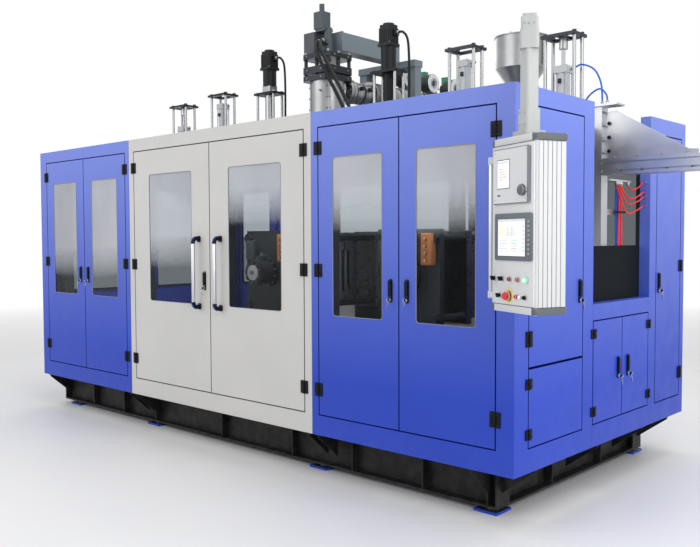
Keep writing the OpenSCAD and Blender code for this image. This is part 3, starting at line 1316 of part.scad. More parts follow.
color("royalblue") on_right(bay_gap)  // outlet_door_front
    end_door([out_door[0], (out_door[0] + out_door[1])/2 + door_gap/2], out_door_z, outlet_hinges, small_hinge_h, true, 1297, 477);
color("royalblue") on_right(bay_gap)  // outlet_door_rear
    end_door([(out_door[0] + out_door[1])/2 - door_gap/2, out_door[1]], out_door_z, outlet_hinges, small_hinge_h, false, 1444, 477);
color("royalblue") on_right(0)  // column_door
    end_door(col_door, col_door_z, column_hinges, hinge_h, false, col_door[0] + 45, 1016);
pendant_boom();
pendant_post();
pendant_box();
stop_button();
carriage(head_x);  // left_carriage
carriage(right_x);  // right_carriage
mould_half(head_x, -1);  // left_front_mould
mould_half(head_x, 1);  // left_rear_mould
mould_half(right_x, -1);  // right_front_mould
mould_half(right_x, 1);  // right_rear_mould
lift_frame(left_x, inner_ring_z, tool_z, false);  // left_pin_frame
lift_frame(left_x - left_pitch, outer_ring_z, tool_z, true);  // left_punch_frame
lift_frame(right_x, inner_ring_z, tool_z, false);  // right_pin_frame
lift_frame(right_x + right_pitch, outer_ring_z, tool_z, true);  // right_punch_frame
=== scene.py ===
"""Looks of the double-station blow moulding machine, in metres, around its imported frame."""

import math

import bmesh
import bpy
from bpy.props import FloatProperty, FloatVectorProperty, IntProperty, PointerProperty
from mathutils import Matrix, Vector


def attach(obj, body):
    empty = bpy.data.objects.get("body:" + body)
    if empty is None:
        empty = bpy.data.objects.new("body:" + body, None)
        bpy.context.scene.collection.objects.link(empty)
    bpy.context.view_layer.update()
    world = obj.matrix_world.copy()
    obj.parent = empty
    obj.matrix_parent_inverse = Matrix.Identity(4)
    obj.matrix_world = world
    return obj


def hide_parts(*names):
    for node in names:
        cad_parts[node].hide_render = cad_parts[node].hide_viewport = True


bl_info = {
    "name": "Blow Moulding Machine",
    "version": (1, 0, 0),
    "blender": (4, 5, 0),
    "location": "View3D > Sidebar > Machine",
    "description": "Finishes and fine pieces of a double-station blow moulding machine",
    "category": "Object",
}

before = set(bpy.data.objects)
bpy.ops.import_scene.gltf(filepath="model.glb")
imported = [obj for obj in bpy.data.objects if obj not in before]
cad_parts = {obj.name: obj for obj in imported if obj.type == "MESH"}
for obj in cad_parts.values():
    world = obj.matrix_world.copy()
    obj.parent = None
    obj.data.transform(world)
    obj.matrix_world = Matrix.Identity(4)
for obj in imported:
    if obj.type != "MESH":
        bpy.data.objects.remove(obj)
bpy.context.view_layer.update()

# Cabinet edges and levels
HX = 2.725
HY = 1.215
Z0 = 0.310
Z1 = 2.510
BAY_X = 1.125
DECK_Z = 2.400
HEAD_X = 0.020
AXIS_Y = 0.080
GAP = 0.004
HINGE_OFF = 0.008

# Door openings along the front, as left and right edges
SPANS = {"left": (-2.605, -1.190), "centre": (-1.053, 1.053), "right": (1.190, 2.605)}
WINDOW_LOW = 0.830

# Bodies of the two doors of each front opening
DOORS = {"left": ("left_outer_door", "left_inner_door"), "centre": ("centre_left_door", "centre_right_door"),
         "right": ("right_inner_door", "right_outer_door")}

# Width of the painted shade beside a door's gap, and the angle past which an edge is sharp
GAP_SHADE_WIDTH = 0.0026
SHARP = math.radians(35)

# Heights of the locks in the covers
LOCK_HEIGHTS = (0.180, 0.650, 1.320, 2.055)

# Heights of the extruder's barrel and of the clamp cylinders, and the directions of a plate that lies flat
BARREL_Z = 2.980
CLAMP_Z = 1.380
FLAT = {"across": (1, 0, 0), "up": (0, 1, 0)}

WINDOW_HIGH = 1.885
SIDE_MARGIN = 0.135
CENTRE_MARGIN = 0.231
WINDOW_R = 0.020
TALL = (0.317, 1.130, 1.953)
DOOR_LOW = Z0 + 0.140
DOOR_HIGH = Z1 - 0.105

# Door openings of the take-out end: distances from the front, bottom and top over the underside, two leaves or one
END_OPENINGS = (
    (0.150, 0.800, 0.603, 2.095, False), (0.150, 0.800, 0.140, 0.601, False), (0.940, 1.785, 0.145, 0.815, True),
    (1.908, 2.360, 0.140, 2.083, False),
)

# Servo units: their two places along the machine, and the top of their plates
SERVO_X = (-0.745, 0.725)
SERVO_TOP = 3.030

# Boom of the pendant: its pivot, direction and length
PIVOT = (2.654, -0.953)
BOOM_TURN = math.radians(-59.3)
BOOM_L = 0.620

# Pendant: its post, its turn and its underside
POST = (2.97054, -1.48611)
PENDANT_TURN = math.radians(-24.6)
PENDANT_Z = 1.280
PENDANT_W = 0.390
PENDANT_D = 0.190
PENDANT_H = 0.881
TOP_ROW = 0.168
LOW_ROW = 0.082
STOP_X = -0.030


def colour_setting(label, description, default):
    """A colour that a user would change."""
    return FloatVectorProperty(name=label, description=description, subtype="COLOR", default=default, min=0, max=1)


class CabinetLook(bpy.types.PropertyGroup):
    """Colours and gloss of the painted sheet metal."""

    blue: colour_setting("Blue", "Powder coat of the side bays", (0.015, 0.051, 0.442))
    # Painted sheen: with height, the blue paints turn towards this paler colour, lighter towards the roof
    blue_painted_sheen: colour_setting("Blue near the roof", "Lighter tone of the blue towards the roof", (0.160, 0.220, 0.640))
    grey: colour_setting("Warm grey", "Powder coat of the centre bay", (0.537, 0.530, 0.510))
    gloss: FloatProperty(
        name="Roughness", description="Roughness of the powder coat", subtype="FACTOR",
        default=0.36, min=0.05, max=0.9)
    peel: FloatProperty(
        name="Orange peel", description="Strength of the coat's fine ripple", subtype="FACTOR",
        default=0.05, min=0, max=0.4)


class MachineLook(bpy.types.PropertyGroup):
    """Colours of the machinery."""

    black: colour_setting("Base black", "Paint of the base frame", (0.007, 0.0075, 0.008))
    deck: colour_setting("Deck grey", "Paint of the deck and its stands", (0.147, 0.179, 0.198))
    steel: colour_setting("Steel", "Bare machined steel", (0.290, 0.295, 0.302))
    aluminium: colour_setting("Aluminium", "Pale anodised aluminium", (0.320, 0.328, 0.340))
    hose_blue: colour_setting("Air hose", "Colour of the air hoses", (0.015, 0.109, 0.512))
    hose_red: colour_setting("Return hose", "Colour of the red hoses", (0.768, 0.036, 0.036))


class PieceSizes(bpy.types.PropertyGroup):
    """Sizes of the small pieces that repeat."""

    hinge_screw: FloatProperty(
        name="Hinge screw", description="Head diameter of the hinge screws", unit="LENGTH",
        default=0.009, min=0.004, max=0.014)
    flange_screw: FloatProperty(
        name="Flange screw", description="Head diameter of the head's flange screws", unit="LENGTH",
        default=0.030, min=0.016, max=0.040)
    rib_pitch: FloatProperty(
        name="Rib pitch", description="Spacing of the servo motors' cooling ribs", unit="LENGTH",
        default=0.0125, min=0.008, max=0.03)
    guard_rings: IntProperty(
        name="Guard rings", description="Wire rings of each fan guard", default=6, min=3, max=12)
    seal: FloatProperty(
        name="Window seal", description="Width of the seal round each window", unit="LENGTH",
        default=0.0022, min=0.001, max=0.008)


class StageLook(bpy.types.PropertyGroup):
    """Floor and lamps of the studio."""

    floor: colour_setting("Floor", "Colour of the studio floor", (0.700, 0.695, 0.685))
    key: FloatProperty(
        name="Key lamp", description="Power of the large lamp at the front, in watts",
        default=390, min=0, max=4000)
    fill: FloatProperty(
        name="Fill lamp", description="Power of the lamp at the take-out end, in watts",
        default=570, min=0, max=4000)
    inside: FloatProperty(
        name="Inside lamps", description="Power of each lamp under the deck, in watts",
        default=9, min=0, max=200)


def look(kind):
    """The scene's own settings of one group: cabinet, machine, sizes or stage."""
    return getattr(bpy.context.scene, "machine_" + kind)


# Places of the cabinet's sides: x along the side, y into the machine, z above the cabinet's underside
def front(x=0.0, z=0.0):
    return Matrix.Translation((x, -HY, Z0 + z))


def end(x=0.0, z=0.0):
    return Matrix.Translation((HX, -HY + x, Z0 + z)) @ Matrix.Rotation(math.pi / 2, 4, "Z")


def pendant():
    return Matrix.Translation((POST[0], POST[1], PENDANT_Z)) @ Matrix.Rotation(PENDANT_TURN, 4, "Z")


def boom():
    return Matrix.Translation((*PIVOT, 0)) @ Matrix.Rotation(BOOM_TURN, 4, "Z")


def shade(colour, share):
    """The colour made darker or lighter by a share."""
    return tuple(min(1.0, c * share) for c in colour)


def put(tree, socket, value):
    """Links a socket to another one, or sets its value."""
    if isinstance(value, bpy.types.NodeSocket):
        tree.links.new(value, socket)
    else:
        socket.default_value = value


def fill_in(tree, node, inputs):
    """Fills a node's inputs, which are given by name, or by number after an n."""
    for key, value in inputs.items():
        put(tree, node.inputs[int(key[1:]) if key[0] == "n" and key[1:].isdigit() else key.replace("_", " ")], value)
    return node


def direct_rays(tree):
    """1 for camera, glossy and transmission rays, 0 for the rays that light the machine."""
    path = tree.nodes.new("ShaderNodeLightPath")
    seen = path.outputs["Is Camera Ray"]
    for kind in ("Is Glossy Ray", "Is Transmission Ray"):
        greater = tree.nodes.new("ShaderNodeMath")
        greater.operation = "MAXIMUM"
        put(tree, greater.inputs[0], seen)
        put(tree, greater.inputs[1], path.outputs[kind])
        seen = greater.outputs[0]
    return seen


class Finish:
    """One material: a principled surface and the patterns that feed it, on object coordinates."""

    made = {}

    def __init__(self, name, colour, rough, metallic=0.0, **sockets):
        self.material = bpy.data.materials.new(name)
        self.material.use_nodes = True
        self.tree = self.material.node_tree
        self.shader = self.tree.nodes["Principled BSDF"]
        self.output = self.tree.nodes["Material Output"]
        self.colour = tuple(colour)
        self.material.diffuse_color = (*self.colour, 1)
        self.shader.inputs["Base Color"].default_value = (*self.colour, 1)
        self.shader.inputs["Roughness"].default_value = rough
        self.shader.inputs["Metallic"].default_value = metallic
        for key, value in sockets.items():
            self.shader.inputs[key.replace("_", " ")].default_value = value
        self.coords = self.tree.nodes.new("ShaderNodeTexCoord").outputs["Object"]
        self.height = None
        self.surface = self.shader.outputs[0]
        Finish.made[name] = self

    def node(self, kind, **inputs):
        """A node with its inputs linked to sockets or set to values, by name or by number."""
        return fill_in(self.tree, self.tree.nodes.new("ShaderNode" + kind), inputs)

    def noise(self, scale, detail=2.0, stretch=(1, 1, 1)):
        """Soft random pattern, with its own scale along each axis."""
        spot = self.node("Mapping", Vector=self.coords, Scale=stretch).outputs["Vector"]
        return self.node("TexNoise", Vector=spot, Scale=scale, Detail=detail).outputs["Fac"]

    def axis(self, name):
        """Distance along one axis of the machine."""
        return self.node("SeparateXYZ", Vector=self.coords).outputs[name]

    def level(self, value, low, high, to_low=0.0, to_high=1.0):
        return self.node("MapRange", Value=value, From_Min=low, From_Max=high,
                         To_Min=to_low, To_Max=to_high).outputs["Result"]

    def math(self, work, a, b=0.0):
        made = self.tree.nodes.new("ShaderNodeMath")
        made.operation = work
        return fill_in(self.tree, made, {"n0": a, "n1": b}).outputs[0]

    def mix(self, share, a, b):
        """Colour between a and b."""
        made = self.tree.nodes.new("ShaderNodeMix")
        made.data_type = "RGBA"
        a, b = (c if isinstance(c, bpy.types.NodeSocket) else (*c, 1) for c in (a, b))
        return fill_in(self.tree, made, {"n0": share, "n6": a, "n7": b}).outputs[2]

    def feed(self, socket, value):
        self.tree.links.new(value, self.shader.inputs[socket])

    def bump(self, height, strength, distance):
        """Adds relief on top of the relief that is there."""
        made = self.node("Bump", Height=height, Strength=strength, Distance=distance)
        if self.height:
            self.tree.links.new(self.height, made.inputs["Normal"])
        self.height = made.outputs["Normal"]
        self.tree.links.new(self.height, self.shader.inputs["Normal"])

    def within(self, name, low, high):
        """1 between two places along an axis, 0 outside them."""
        value = self.axis(name)
        return self.math("MULTIPLY", self.math("GREATER_THAN", value, low), self.math("LESS_THAN", value, high))

    def where(self, mask, other):
        """Shows the other finish's plain surface where the mask is 1."""
        second = self.tree.nodes.new("ShaderNodeBsdfPrincipled")
        for key in ("Base Color", "Roughness", "Metallic"):
            second.inputs[key].default_value = other.shader.inputs[key].default_value
        if self.height:
            self.tree.links.new(self.height, second.inputs["Normal"])
        second.inputs["Specular IOR Level"].default_value = other.shader.inputs["Specular IOR Level"].default_value
        self.surface = self.node("MixShader", n0=mask, n1=self.surface, n2=second.outputs[0]).outputs[0]
        self.tree.links.new(self.surface, self.output.inputs["Surface"])

    def seams(self, openings, edge):
        """1 in the painted shade beside the gap round each door opening, and between the two leaves of a pair."""
        total = 0.0
        for along, low, high, bottom, top, pair in openings:
            outer = self.math("MULTIPLY", self.within(along, low - edge, high + edge),
                              self.within("Z", bottom - edge, top + edge))
            rim = GAP + edge
            inner = self.math("MULTIPLY", self.within(along, low + rim, high - rim),
                              self.within("Z", bottom + rim, top - rim))
            if pair:
                middle = self.within(along, mid((low, high)) - GAP / 2 - edge, mid((low, high)) + GAP / 2 + edge)
                inner = self.math("MULTIPLY", inner, self.math("SUBTRACT", 1.0, middle))
            side = self.math("LESS_THAN", self.axis("Y"), -HY + 0.030) if along == "X" else self.math(
                "GREATER_THAN", self.axis("X"), HX - 0.030)
            ring = self.math("MULTIPLY", self.math("SUBTRACT", outer, inner), side)
            total = self.math("MAXIMUM", total, ring)
        return total


def mid(span):
    return (span[0] + span[1]) / 2


def paint(name, colour, rough, top=None, spread=0.05, peel=0.05, dust=0.0, shine=0.28):
    """Sprayed or powder coated metal: faint clouds, a fine ripple and settled dust near the floor."""
    f = Finish(name, colour, rough, Specular_IOR_Level=shine)
    tone = f.mix(f.level(f.noise(1.7, 3), 0.3, 0.7), shade(colour, 1 - spread), shade(colour, 1 + spread))
    # Painted sheen: from 0.7 m upwards the colour turns towards the top colour
    if top:
        tone = f.mix(f.level(f.axis("Z"), 0.7, 2.55), tone, top)
    if dust:
        low = f.level(f.axis("Z"), 0.0, 0.5, dust, 0.0)
        tone = f.mix(f.math("MULTIPLY", low, f.level(f.noise(14, 5), 0.35, 0.75)), tone, (0.30, 0.28, 0.25))
    f.feed("Base Color", tone)
    f.feed("Roughness", f.level(f.noise(7, 4), 0.3, 0.7, rough - 0.05, rough + 0.07))
    f.bump(f.noise(260, 2), peel, 0.0008)
    return f


def metal(name, colour, rough, grain=(1, 1, 1), scale=60, spread=0.08, strength=0.06):
    """Bare metal with tool marks or brushing along one direction and uneven gloss."""
    f = Finish(name, colour, rough, metallic=1.0)
    lines = f.noise(scale, 3, grain)
    f.feed("Base Color",
           f.mix(f.level(f.noise(4, 4), 0.3, 0.7), shade(colour, 1 - spread), shade(colour, 1 + spread)))
    f.feed("Roughness", f.level(f.math("ADD", lines, f.noise(11, 4)), 0.7, 1.3, rough - 0.07, rough + 0.1))
    f.bump(lines, strength, 0.0006)
    return f


def moulded(name, colour, rough, grain=0.04, scale=420, **sockets):
    """Moulded plastic or rubber with a fine grain."""
    f = Finish(name, colour, rough, **{"Specular_IOR_Level": 0.22, **sockets})
    f.feed("Base Color", f.mix(f.level(f.noise(9, 3), 0.3, 0.7), shade(colour, 0.92), shade(colour, 1.08)))
    f.feed("Roughness", f.level(f.noise(25, 3), 0.3, 0.7, rough - 0.05, rough + 0.06))
    f.bump(f.noise(scale, 2), grain, 0.0005)
    return f


def glowing(name, colour, strength):
    """Lit lens or screen."""
    f = Finish(name, colour, 0.25, Emission_Strength=strength)
    f.shader.inputs["Emission Color"].default_value = (*colour, 1)
    f.feed("Roughness", f.level(f.noise(30, 2), 0.3, 0.7, 0.2, 0.3))
    return f


def finish_of(name):
    return Finish.made[name].material


class Maker:
    """Collects the closed solids of one piece in a mesh, in a place of the machine's frame."""

    def __init__(self, place=None):
        self.bm = bmesh.new()
        self.place = place or Matrix.Identity(4)
        self.mat = 0

    def _close(self, before, place=None):
        fresh = [f for f in self.bm.faces if f not in before]
        verts = {v for f in fresh for v in f.verts}
        bmesh.ops.transform(self.bm, matrix=place or self.place, verts=list(verts))
        for f in fresh:
            f.material_index = self.mat

    def _round(self, edges, width, steps):
        if width > 0:
            bmesh.ops.bevel(self.bm, geom=edges, offset=width, segments=steps, profile=0.5,
                            affect="EDGES", clamp_overlap=True)

    def box(self, low, high, edge=0.0, steps=2, turn=None):
        """Block between two corners, with its edges rounded."""
        before = set(self.bm.faces)
        size = [b - a for a, b in zip(low, high)]
        centre = [(a + b) / 2 for a, b in zip(low, high)]
        local = Matrix.Translation(centre) @ Matrix.Diagonal((*size, 1))
        made = bmesh.ops.create_cube(self.bm, size=1, matrix=local)
        self._round(list({e for v in made["verts"] for e in v.link_edges}), edge, steps)
        self._close(before, self.place @ turn if turn else None)

    def cylinder(self, base, tip, radius, sides=32, edge=0.0, steps=2):
        """Round bar from base to tip, with its rims rounded."""
        before = set(self.bm.faces)
        a, b = Vector(base), Vector(tip)
        turn = (b - a).to_track_quat("Z", "Y").to_matrix().to_4x4()
        local = Matrix.Translation((a + b) / 2) @ turn
        made = bmesh.ops.create_cone(self.bm, cap_ends=True, segments=sides, radius1=radius, radius2=radius,
                                     depth=(b - a).length, matrix=local)
        rims = [e for e in {e for v in made["verts"] for e in v.link_edges}
                if any(len(f.verts) > 4 or sides < 5 for f in e.link_faces)]
        self._round(rims, edge, steps)
        self._close(before)

    def rod(self, axis, base, tip, radius, sides=32, edge=0.0, steps=2):
        """Round bar along X, Y or Z, from base to a place on that axis."""
        end = list(base)
        end["XYZ".index(axis)] = tip
        self.cylinder(base, end, radius, sides, edge, steps)

    def _rings(self, base, axis, outline, sides):
        """Rings of vertices round an axis, one for each (radius, height) of an outline."""
        turn = Matrix.Translation(base) @ Vector(axis).to_track_quat("Z", "Y").to_matrix().to_4x4()
        steps = [2 * math.pi * k / sides for k in range(sides)]
        return [[self.bm.verts.new(turn @ Vector((r * math.cos(a), r * math.sin(a), h))) for a in steps] for r,
                h in outline]

    def _skin(self, rings, closed=False):
        """Faces between rings of as many vertices each; the ends meet, or get a cap each."""
        for low, high in zip(rings, rings[1:] + (rings[:1] if closed else [])):
            for k in range(len(low)):
                after = (k + 1) % len(low)
                self.bm.faces.new((low[k], low[after], high[after], high[k]))
        if not closed:
            self.bm.faces.new(list(reversed(rings[0])))
            self.bm.faces.new(rings[-1])

    def turned(self, base, axis, profile, sides=48):
        """Solid of revolution: profile lists (radius, height) from the base along the axis."""
        before = set(self.bm.faces)
        self._skin(self._rings(base, axis, profile, sides))
        self._close(before)

    def ring(self, base, axis, inner, outer, height, sides=48, edge=0.0):
        """Flat ring or short tube."""
        before = set(self.bm.faces)
        e = edge
        outline = [(inner + e, 0), (outer - e, 0), (outer, e), (outer, height - e), (outer - e, height),
                   (inner + e, height), (inner, height - e), (inner, e)] if e else [
                       (inner, 0), (outer, 0), (outer, height), (inner, height)]
        self._skin(self._rings(base, axis, outline, sides), closed=True)
        self._close(before)

    def plate(self, outline, low, high, edge=0.0, steps=2, across=(1, 0, 0), up=(0, 0, 1)):
        """Plate with an outline of (across, up) points, between two distances along the third direction."""
        before = set(self.bm.faces)
        u, v = Vector(across), Vector(up)
        w = v.cross(u)
        rows = [[self.bm.verts.new(u * p[0] + v * p[1] + w * d) for p in outline] for d in (low, high)]
        count = len(outline)
        self._skin(rows)
        rims = [self.bm.edges.get((row[k], row[(k + 1) % count])) for row in rows for k in range(count)]
        self._round(rims, edge, steps)
        self._close(before)

    def frame(self, outer, inner, low, high, across=(1, 0, 0), up=(0, 0, 1)):
        """Flat frame between two outlines of as many points each."""
        before = set(self.bm.faces)
        u, v = Vector(across), Vector(up)
        w = v.cross(u)
        loops = [[self.bm.verts.new(u * p[0] + v * p[1] + w * d) for p in line]
                 for line, d in ((outer, low), (outer, high), (inner, high), (inner, low))]
        self._skin(loops, closed=True)
        self._close(before)

    def tube(self, path, radius, sides=12):
        """Round tube along a path, closed at both ends."""
        before = set(self.bm.faces)
        points = [Vector(p) for p in path]
        side = Vector((0.31, 0.95, 0.21))
        rings = []
        for i, p in enumerate(points):
            along = (points[min(i + 1, len(points) - 1)] - points[max(i - 1, 0)]).normalized()
            a = (side - along * side.dot(along)).normalized()
            side = a
            b = along.cross(a)
            rings.append([self.bm.verts.new(p + radius * (math.cos(2 * math.pi * k / sides) * a
                                                          + math.sin(2 * math.pi * k / sides) * b))
                          for k in range(sides)])
        self._skin(rings)
        self._close(before)

    def done(self, name, body, finishes):
        """Makes the piece's object, which rides on a body."""
        bmesh.ops.recalc_face_normals(self.bm, faces=self.bm.faces[:])
        mesh = bpy.data.meshes.new(name)
        self.bm.to_mesh(mesh)
        self.bm.free()
        return place_piece(mesh, name, body, finishes)


def place_piece(mesh, name, body, finishes):
    """Object of a mesh at the origin, with its finishes, riding on a body."""
    if not mesh.polygons:
        raise RuntimeError(name + " has no faces")
    for kind in finishes:
        mesh.materials.append(finish_of(kind))
    mesh.polygons.foreach_set("use_smooth", [True] * len(mesh.polygons))
    mesh.set_sharp_from_angle(angle=SHARP)
    piece = bpy.data.objects.new(name, mesh)
    bpy.context.scene.collection.objects.link(piece)
    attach(piece, body)
    return piece


def rounded(x0, z0, x1, z1, r, steps=6):
    """Outline of a rectangle with round corners."""
    corners = (((x1 - r, z1 - r), 0), ((x0 + r, z1 - r), 90), ((x0 + r, z0 + r), 180), ((x1 - r, z0 + r), 270))
    return [(cx + r * math.cos(math.radians(a + 90 * k / steps)), cz + r * math.sin(math.radians(a + 90 * k / steps)))
            for (cx, cz), a in corners for k in range(steps + 1)]


class Tree:
    """A geometry node tree with named inputs, from points to a finished mesh."""

    def __init__(self, name, inputs):
        self.tree = bpy.data.node_groups.new(name, "GeometryNodeTree")
        face = self.tree.interface
        face.new_socket("Geometry", in_out="INPUT", socket_type="NodeSocketGeometry")
        for label, kind, value in inputs:
            made = face.new_socket(label, in_out="INPUT", socket_type="NodeSocket" + kind)
            if value is not None:
                made.default_value = value
        face.new_socket("Geometry", in_out="OUTPUT", socket_type="NodeSocketGeometry")
        self.start = self.tree.nodes.new("NodeGroupInput")
        self.stop = self.tree.nodes.new("NodeGroupOutput")

    def given(self, label):
        return self.start.outputs[label]

    def node(self, kind, prefix="GeometryNode", settings=None, **inputs):
        made = self.tree.nodes.new(prefix + kind)
        for key, value in (settings or {}).items():
            setattr(made, key, value)
        return fill_in(self.tree, made, inputs)

    def maths(self, work, a, b=0.0):
        return self.node("Math", "ShaderNode", {"operation": work}, n0=a, n1=b).outputs[0]

    def vector(self, x, y, z):
        return self.node("CombineXYZ", "ShaderNode", n0=x, n1=y, n2=z).outputs[0]

    def named(self, label):
        """A direction kept on the points."""
        made = self.node("InputNamedAttribute", settings={"data_type": "FLOAT_VECTOR"}, Name=label)
        return made.outputs["Attribute"]

    def finish(self, geometry):
        real = self.node("RealizeInstances", Geometry=geometry).outputs["Geometry"]
        out = self.node("SetMaterial", Geometry=real, Material=self.given("Material")).outputs["Geometry"]
        self.tree.links.new(out, self.stop.inputs["Geometry"])
        return self.tree


def aimed(tree, instance):
    """Puts the instance on every point, its Z along the point's aim."""
    turn = tree.node("AlignRotationToVector", "FunctionNode", {"axis": "Z"}, Vector=tree.named("aim")).outputs[0]
    return tree.node("InstanceOnPoints", Points=tree.given("Geometry"), Instance=instance,
                     Rotation=turn).outputs["Instances"]


def screw_tree():
    """Socket head screws standing on points."""
    t = Tree("socket screws", [("Head", "Float", 0.01), ("Height", "Float", 0.006), ("Sides", "Int", 20),
                               ("Material", "Material", None)])
    radius = t.maths("MULTIPLY", t.given("Head"), 0.5)
    head = t.node("MeshCylinder", Vertices=t.given("Sides"), Radius=radius, Depth=t.given("Height"))
    rim = t.node("ExtrudeMesh", settings={"mode": "FACES"}, Mesh=head.outputs["Mesh"],
                 Selection=head.outputs["Top"], Offset_Scale=t.maths("MULTIPLY", t.given("Head"), 0.08))
    slim = t.node("ScaleElements", Geometry=rim.outputs["Mesh"], Selection=rim.outputs["Top"], Scale=0.82)
    floor = t.node("ExtrudeMesh", settings={"mode": "FACES"}, Mesh=slim.outputs["Geometry"],
                   Selection=rim.outputs["Top"], Offset_Scale=0.0)
    mouth = t.node("ScaleElements", Geometry=floor.outputs["Mesh"], Selection=floor.outputs["Top"], Scale=0.6)
    sink = t.node("ExtrudeMesh", settings={"mode": "FACES"}, Mesh=mouth.outputs["Geometry"],
                  Selection=floor.outputs["Top"], Offset_Scale=t.maths("MULTIPLY", t.given("Height"), -0.7))
    lifted = t.node("Transform", Geometry=sink.outputs["Mesh"],
                    Translation=t.vector(0.0, 0.0, t.maths("MULTIPLY", t.given("Height"), 0.5)))
    return t.finish(aimed(t, lifted.outputs["Geometry"]))


def rib_tree():
    """Rows of straight ribs, one row from each point: the row runs along Step, each rib is a block of Size."""
    t = Tree("rows of ribs",
             [("Count", "Int", 8), ("Step", "Vector", (0, 0, 0.01)), ("Size", "Vector", (0.01, 0.01, 0.1)),
                              ("Material", "Material", None)])
    rib = t.node("MeshCube", Size=t.given("Size")).outputs["Mesh"]
    row = t.node("MeshLine", settings={"mode": "OFFSET"}, Count=t.given("Count"),
                 Offset=t.given("Step")).outputs["Mesh"]
    ribs = t.node("InstanceOnPoints", Points=row, Instance=rib).outputs["Instances"]
    return t.finish(aimed(t, ribs))


def guard_tree():
    """Wire fan guards: rings that grow by a rule, joined by spokes, on every point."""
    t = Tree("fan guards",
             [("Radius", "Float", 0.05), ("Rings", "Int", 6), ("Wire", "Float", 0.0015), ("Spokes", "Int", 4),
                            ("Material", "Material", None)])
    circle = t.node("CurvePrimitiveCircle", Resolution=40, Radius=t.given("Radius")).outputs["Curve"]
    steps = t.node("MeshLine", settings={"mode": "OFFSET"}, Count=t.given("Rings"), Offset=(0, 0, 0)).outputs["Mesh"]
    share = t.maths("DIVIDE", t.maths("ADD", t.node("InputIndex").outputs[0], 1.0), t.given("Rings"))
    rings = t.node("InstanceOnPoints", Points=steps, Instance=circle,
                   Scale=t.vector(share, share, 1.0)).outputs["Instances"]
    curves = t.node("RealizeInstances", Geometry=rings).outputs["Geometry"]
    section = t.node("CurvePrimitiveCircle", Resolution=6, Radius=t.given("Wire")).outputs["Curve"]
    wires = t.node("CurveToMesh", Curve=curves, Profile_Curve=section).outputs["Mesh"]
    spoke = t.node("MeshCube", Size=t.vector(t.given("Radius"), t.maths("MULTIPLY", t.given("Wire"), 2.0),
                                             t.maths("MULTIPLY", t.given("Wire"), 2.0))).outputs["Mesh"]
    off = t.node("Transform", Geometry=spoke,
                 Translation=t.vector(t.maths("MULTIPLY", t.given("Radius"), 0.5), 0.0, 0.0))
    spots = t.node("MeshLine", settings={"mode": "OFFSET"}, Count=t.given("Spokes"), Offset=(0, 0, 0)).outputs["Mesh"]
    angle = t.maths("MULTIPLY", t.node("InputIndex").outputs[0], t.maths("DIVIDE", 2 * math.pi, t.given("Spokes")))
    spokes = t.node("InstanceOnPoints", Points=spots, Instance=off.outputs["Geometry"],
                    Rotation=t.node("EulerToRotation", "FunctionNode", Euler=t.vector(0.0, 0.0, angle)).outputs[0])
    joined = t.tree.nodes.new("GeometryNodeJoinGeometry")
    for part in (spokes.outputs["Instances"], wires):
        t.tree.links.new(part, joined.inputs[0])
    return t.finish(aimed(t, joined.outputs[0]))


def grown(name, tree, points, body, finish, aims=None, **inputs):
    """Runs a tree on points and keeps its result as a plain mesh that rides on a body."""
    base = bpy.data.meshes.new(name)
    base.from_pydata([tuple(p) for p in points], [], [])
    if aims is not None:
        kept = base.attributes.new("aim", "FLOAT_VECTOR", "POINT")
        for item, aim in zip(kept.data, aims):
            item.vector = aim
    holder = bpy.data.objects.new(name, base)
    bpy.context.scene.collection.objects.link(holder)
    modifier = holder.modifiers.new("made", "NODES")
    modifier.node_group = tree
    sockets = {s.name: s.identifier for s in tree.interface.items_tree if s.in_out == "INPUT"}
    for key, value in inputs.items():
        modifier[sockets[key.replace("_", " ")]] = value
    modifier[sockets["Material"]] = finish_of(finish)
    bpy.context.view_layer.update()
    result = bpy.data.meshes.new_from_object(holder.evaluated_get(bpy.context.evaluated_depsgraph_get()))
    bpy.data.objects.remove(holder)
    result.name = name
    result.materials.clear()
    return place_piece(result, name, body, [finish])


def screwed(name, spots, body, finish, aims, head, height, sides):
    """Screws of one size that stand on spots, each looking along its aim."""
    grown(name, bpy.data.node_groups.get("socket screws") or screw_tree(), spots, body, finish, aims=aims, Head=head,
          Height=height, Sides=sides)


def smooth(points, steps):
    """Points of a smooth line through a few chosen ones."""
    line = []
    for i in range(len(points) - 1):
        a, b = points[max(i - 1, 0)], points[i]
        c, d = points[i + 1], points[min(i + 2, len(points) - 1)]
        for s in range(steps):
            t = s / steps
            line.append(0.5 * (2 * b + (c - a) * t + (2 * a - 5 * b + 4 * c - d) * t * t
                               + (3 * b - a - 3 * c + d) * t * t * t))
    return line + [points[-1]]


def route(start, leave, middle, stop, arrive, steps=8):
    """Line from a face at start, leaving along a direction, through the middle points to a face at stop."""
    a, b = Vector(start), Vector(stop)
    inner = [a + 0.016 * Vector(leave)] + [Vector(p) for p in middle] + [b + 0.016 * Vector(arrive)]
    return [a] + smooth(inner, steps) + [b]


def motor_route(x, z):
    """Cable from an actuator's connector down to the deck."""
    low = DECK_Z + 0.18
    return route((x + 0.096, AXIS_Y, z), (1, 0, 0),
                 [(x + 0.155, AXIS_Y, z - 0.009), (x + 0.200, AXIS_Y, z - 0.074),
                  (x + 0.217, AXIS_Y - 0.002, z - 0.244),
                  (x + 0.220, AXIS_Y - 0.005, z - 0.544), (x + 0.220, AXIS_Y - 0.008, low)],
                 (x + 0.220, AXIS_Y - 0.010, DECK_Z + 0.040), (0, 0, 1))


def bundle_route(x, y, sway):
    """Hose of the bundle that drops from the take-out post's arm to the low cabinet."""
    return route((x, y, BUNDLE_TOP), (0, 0, -1),
                 [(x - 0.003, y - sway / 2, BUNDLE_TOP - 0.150), (x - 0.002, y + sway, BUNDLE_TOP - 0.360),
                  (x, y + sway / 2, BUNDLE_LOW + 0.150)], (x, y, BUNDLE_LOW), (0, 0, 1))


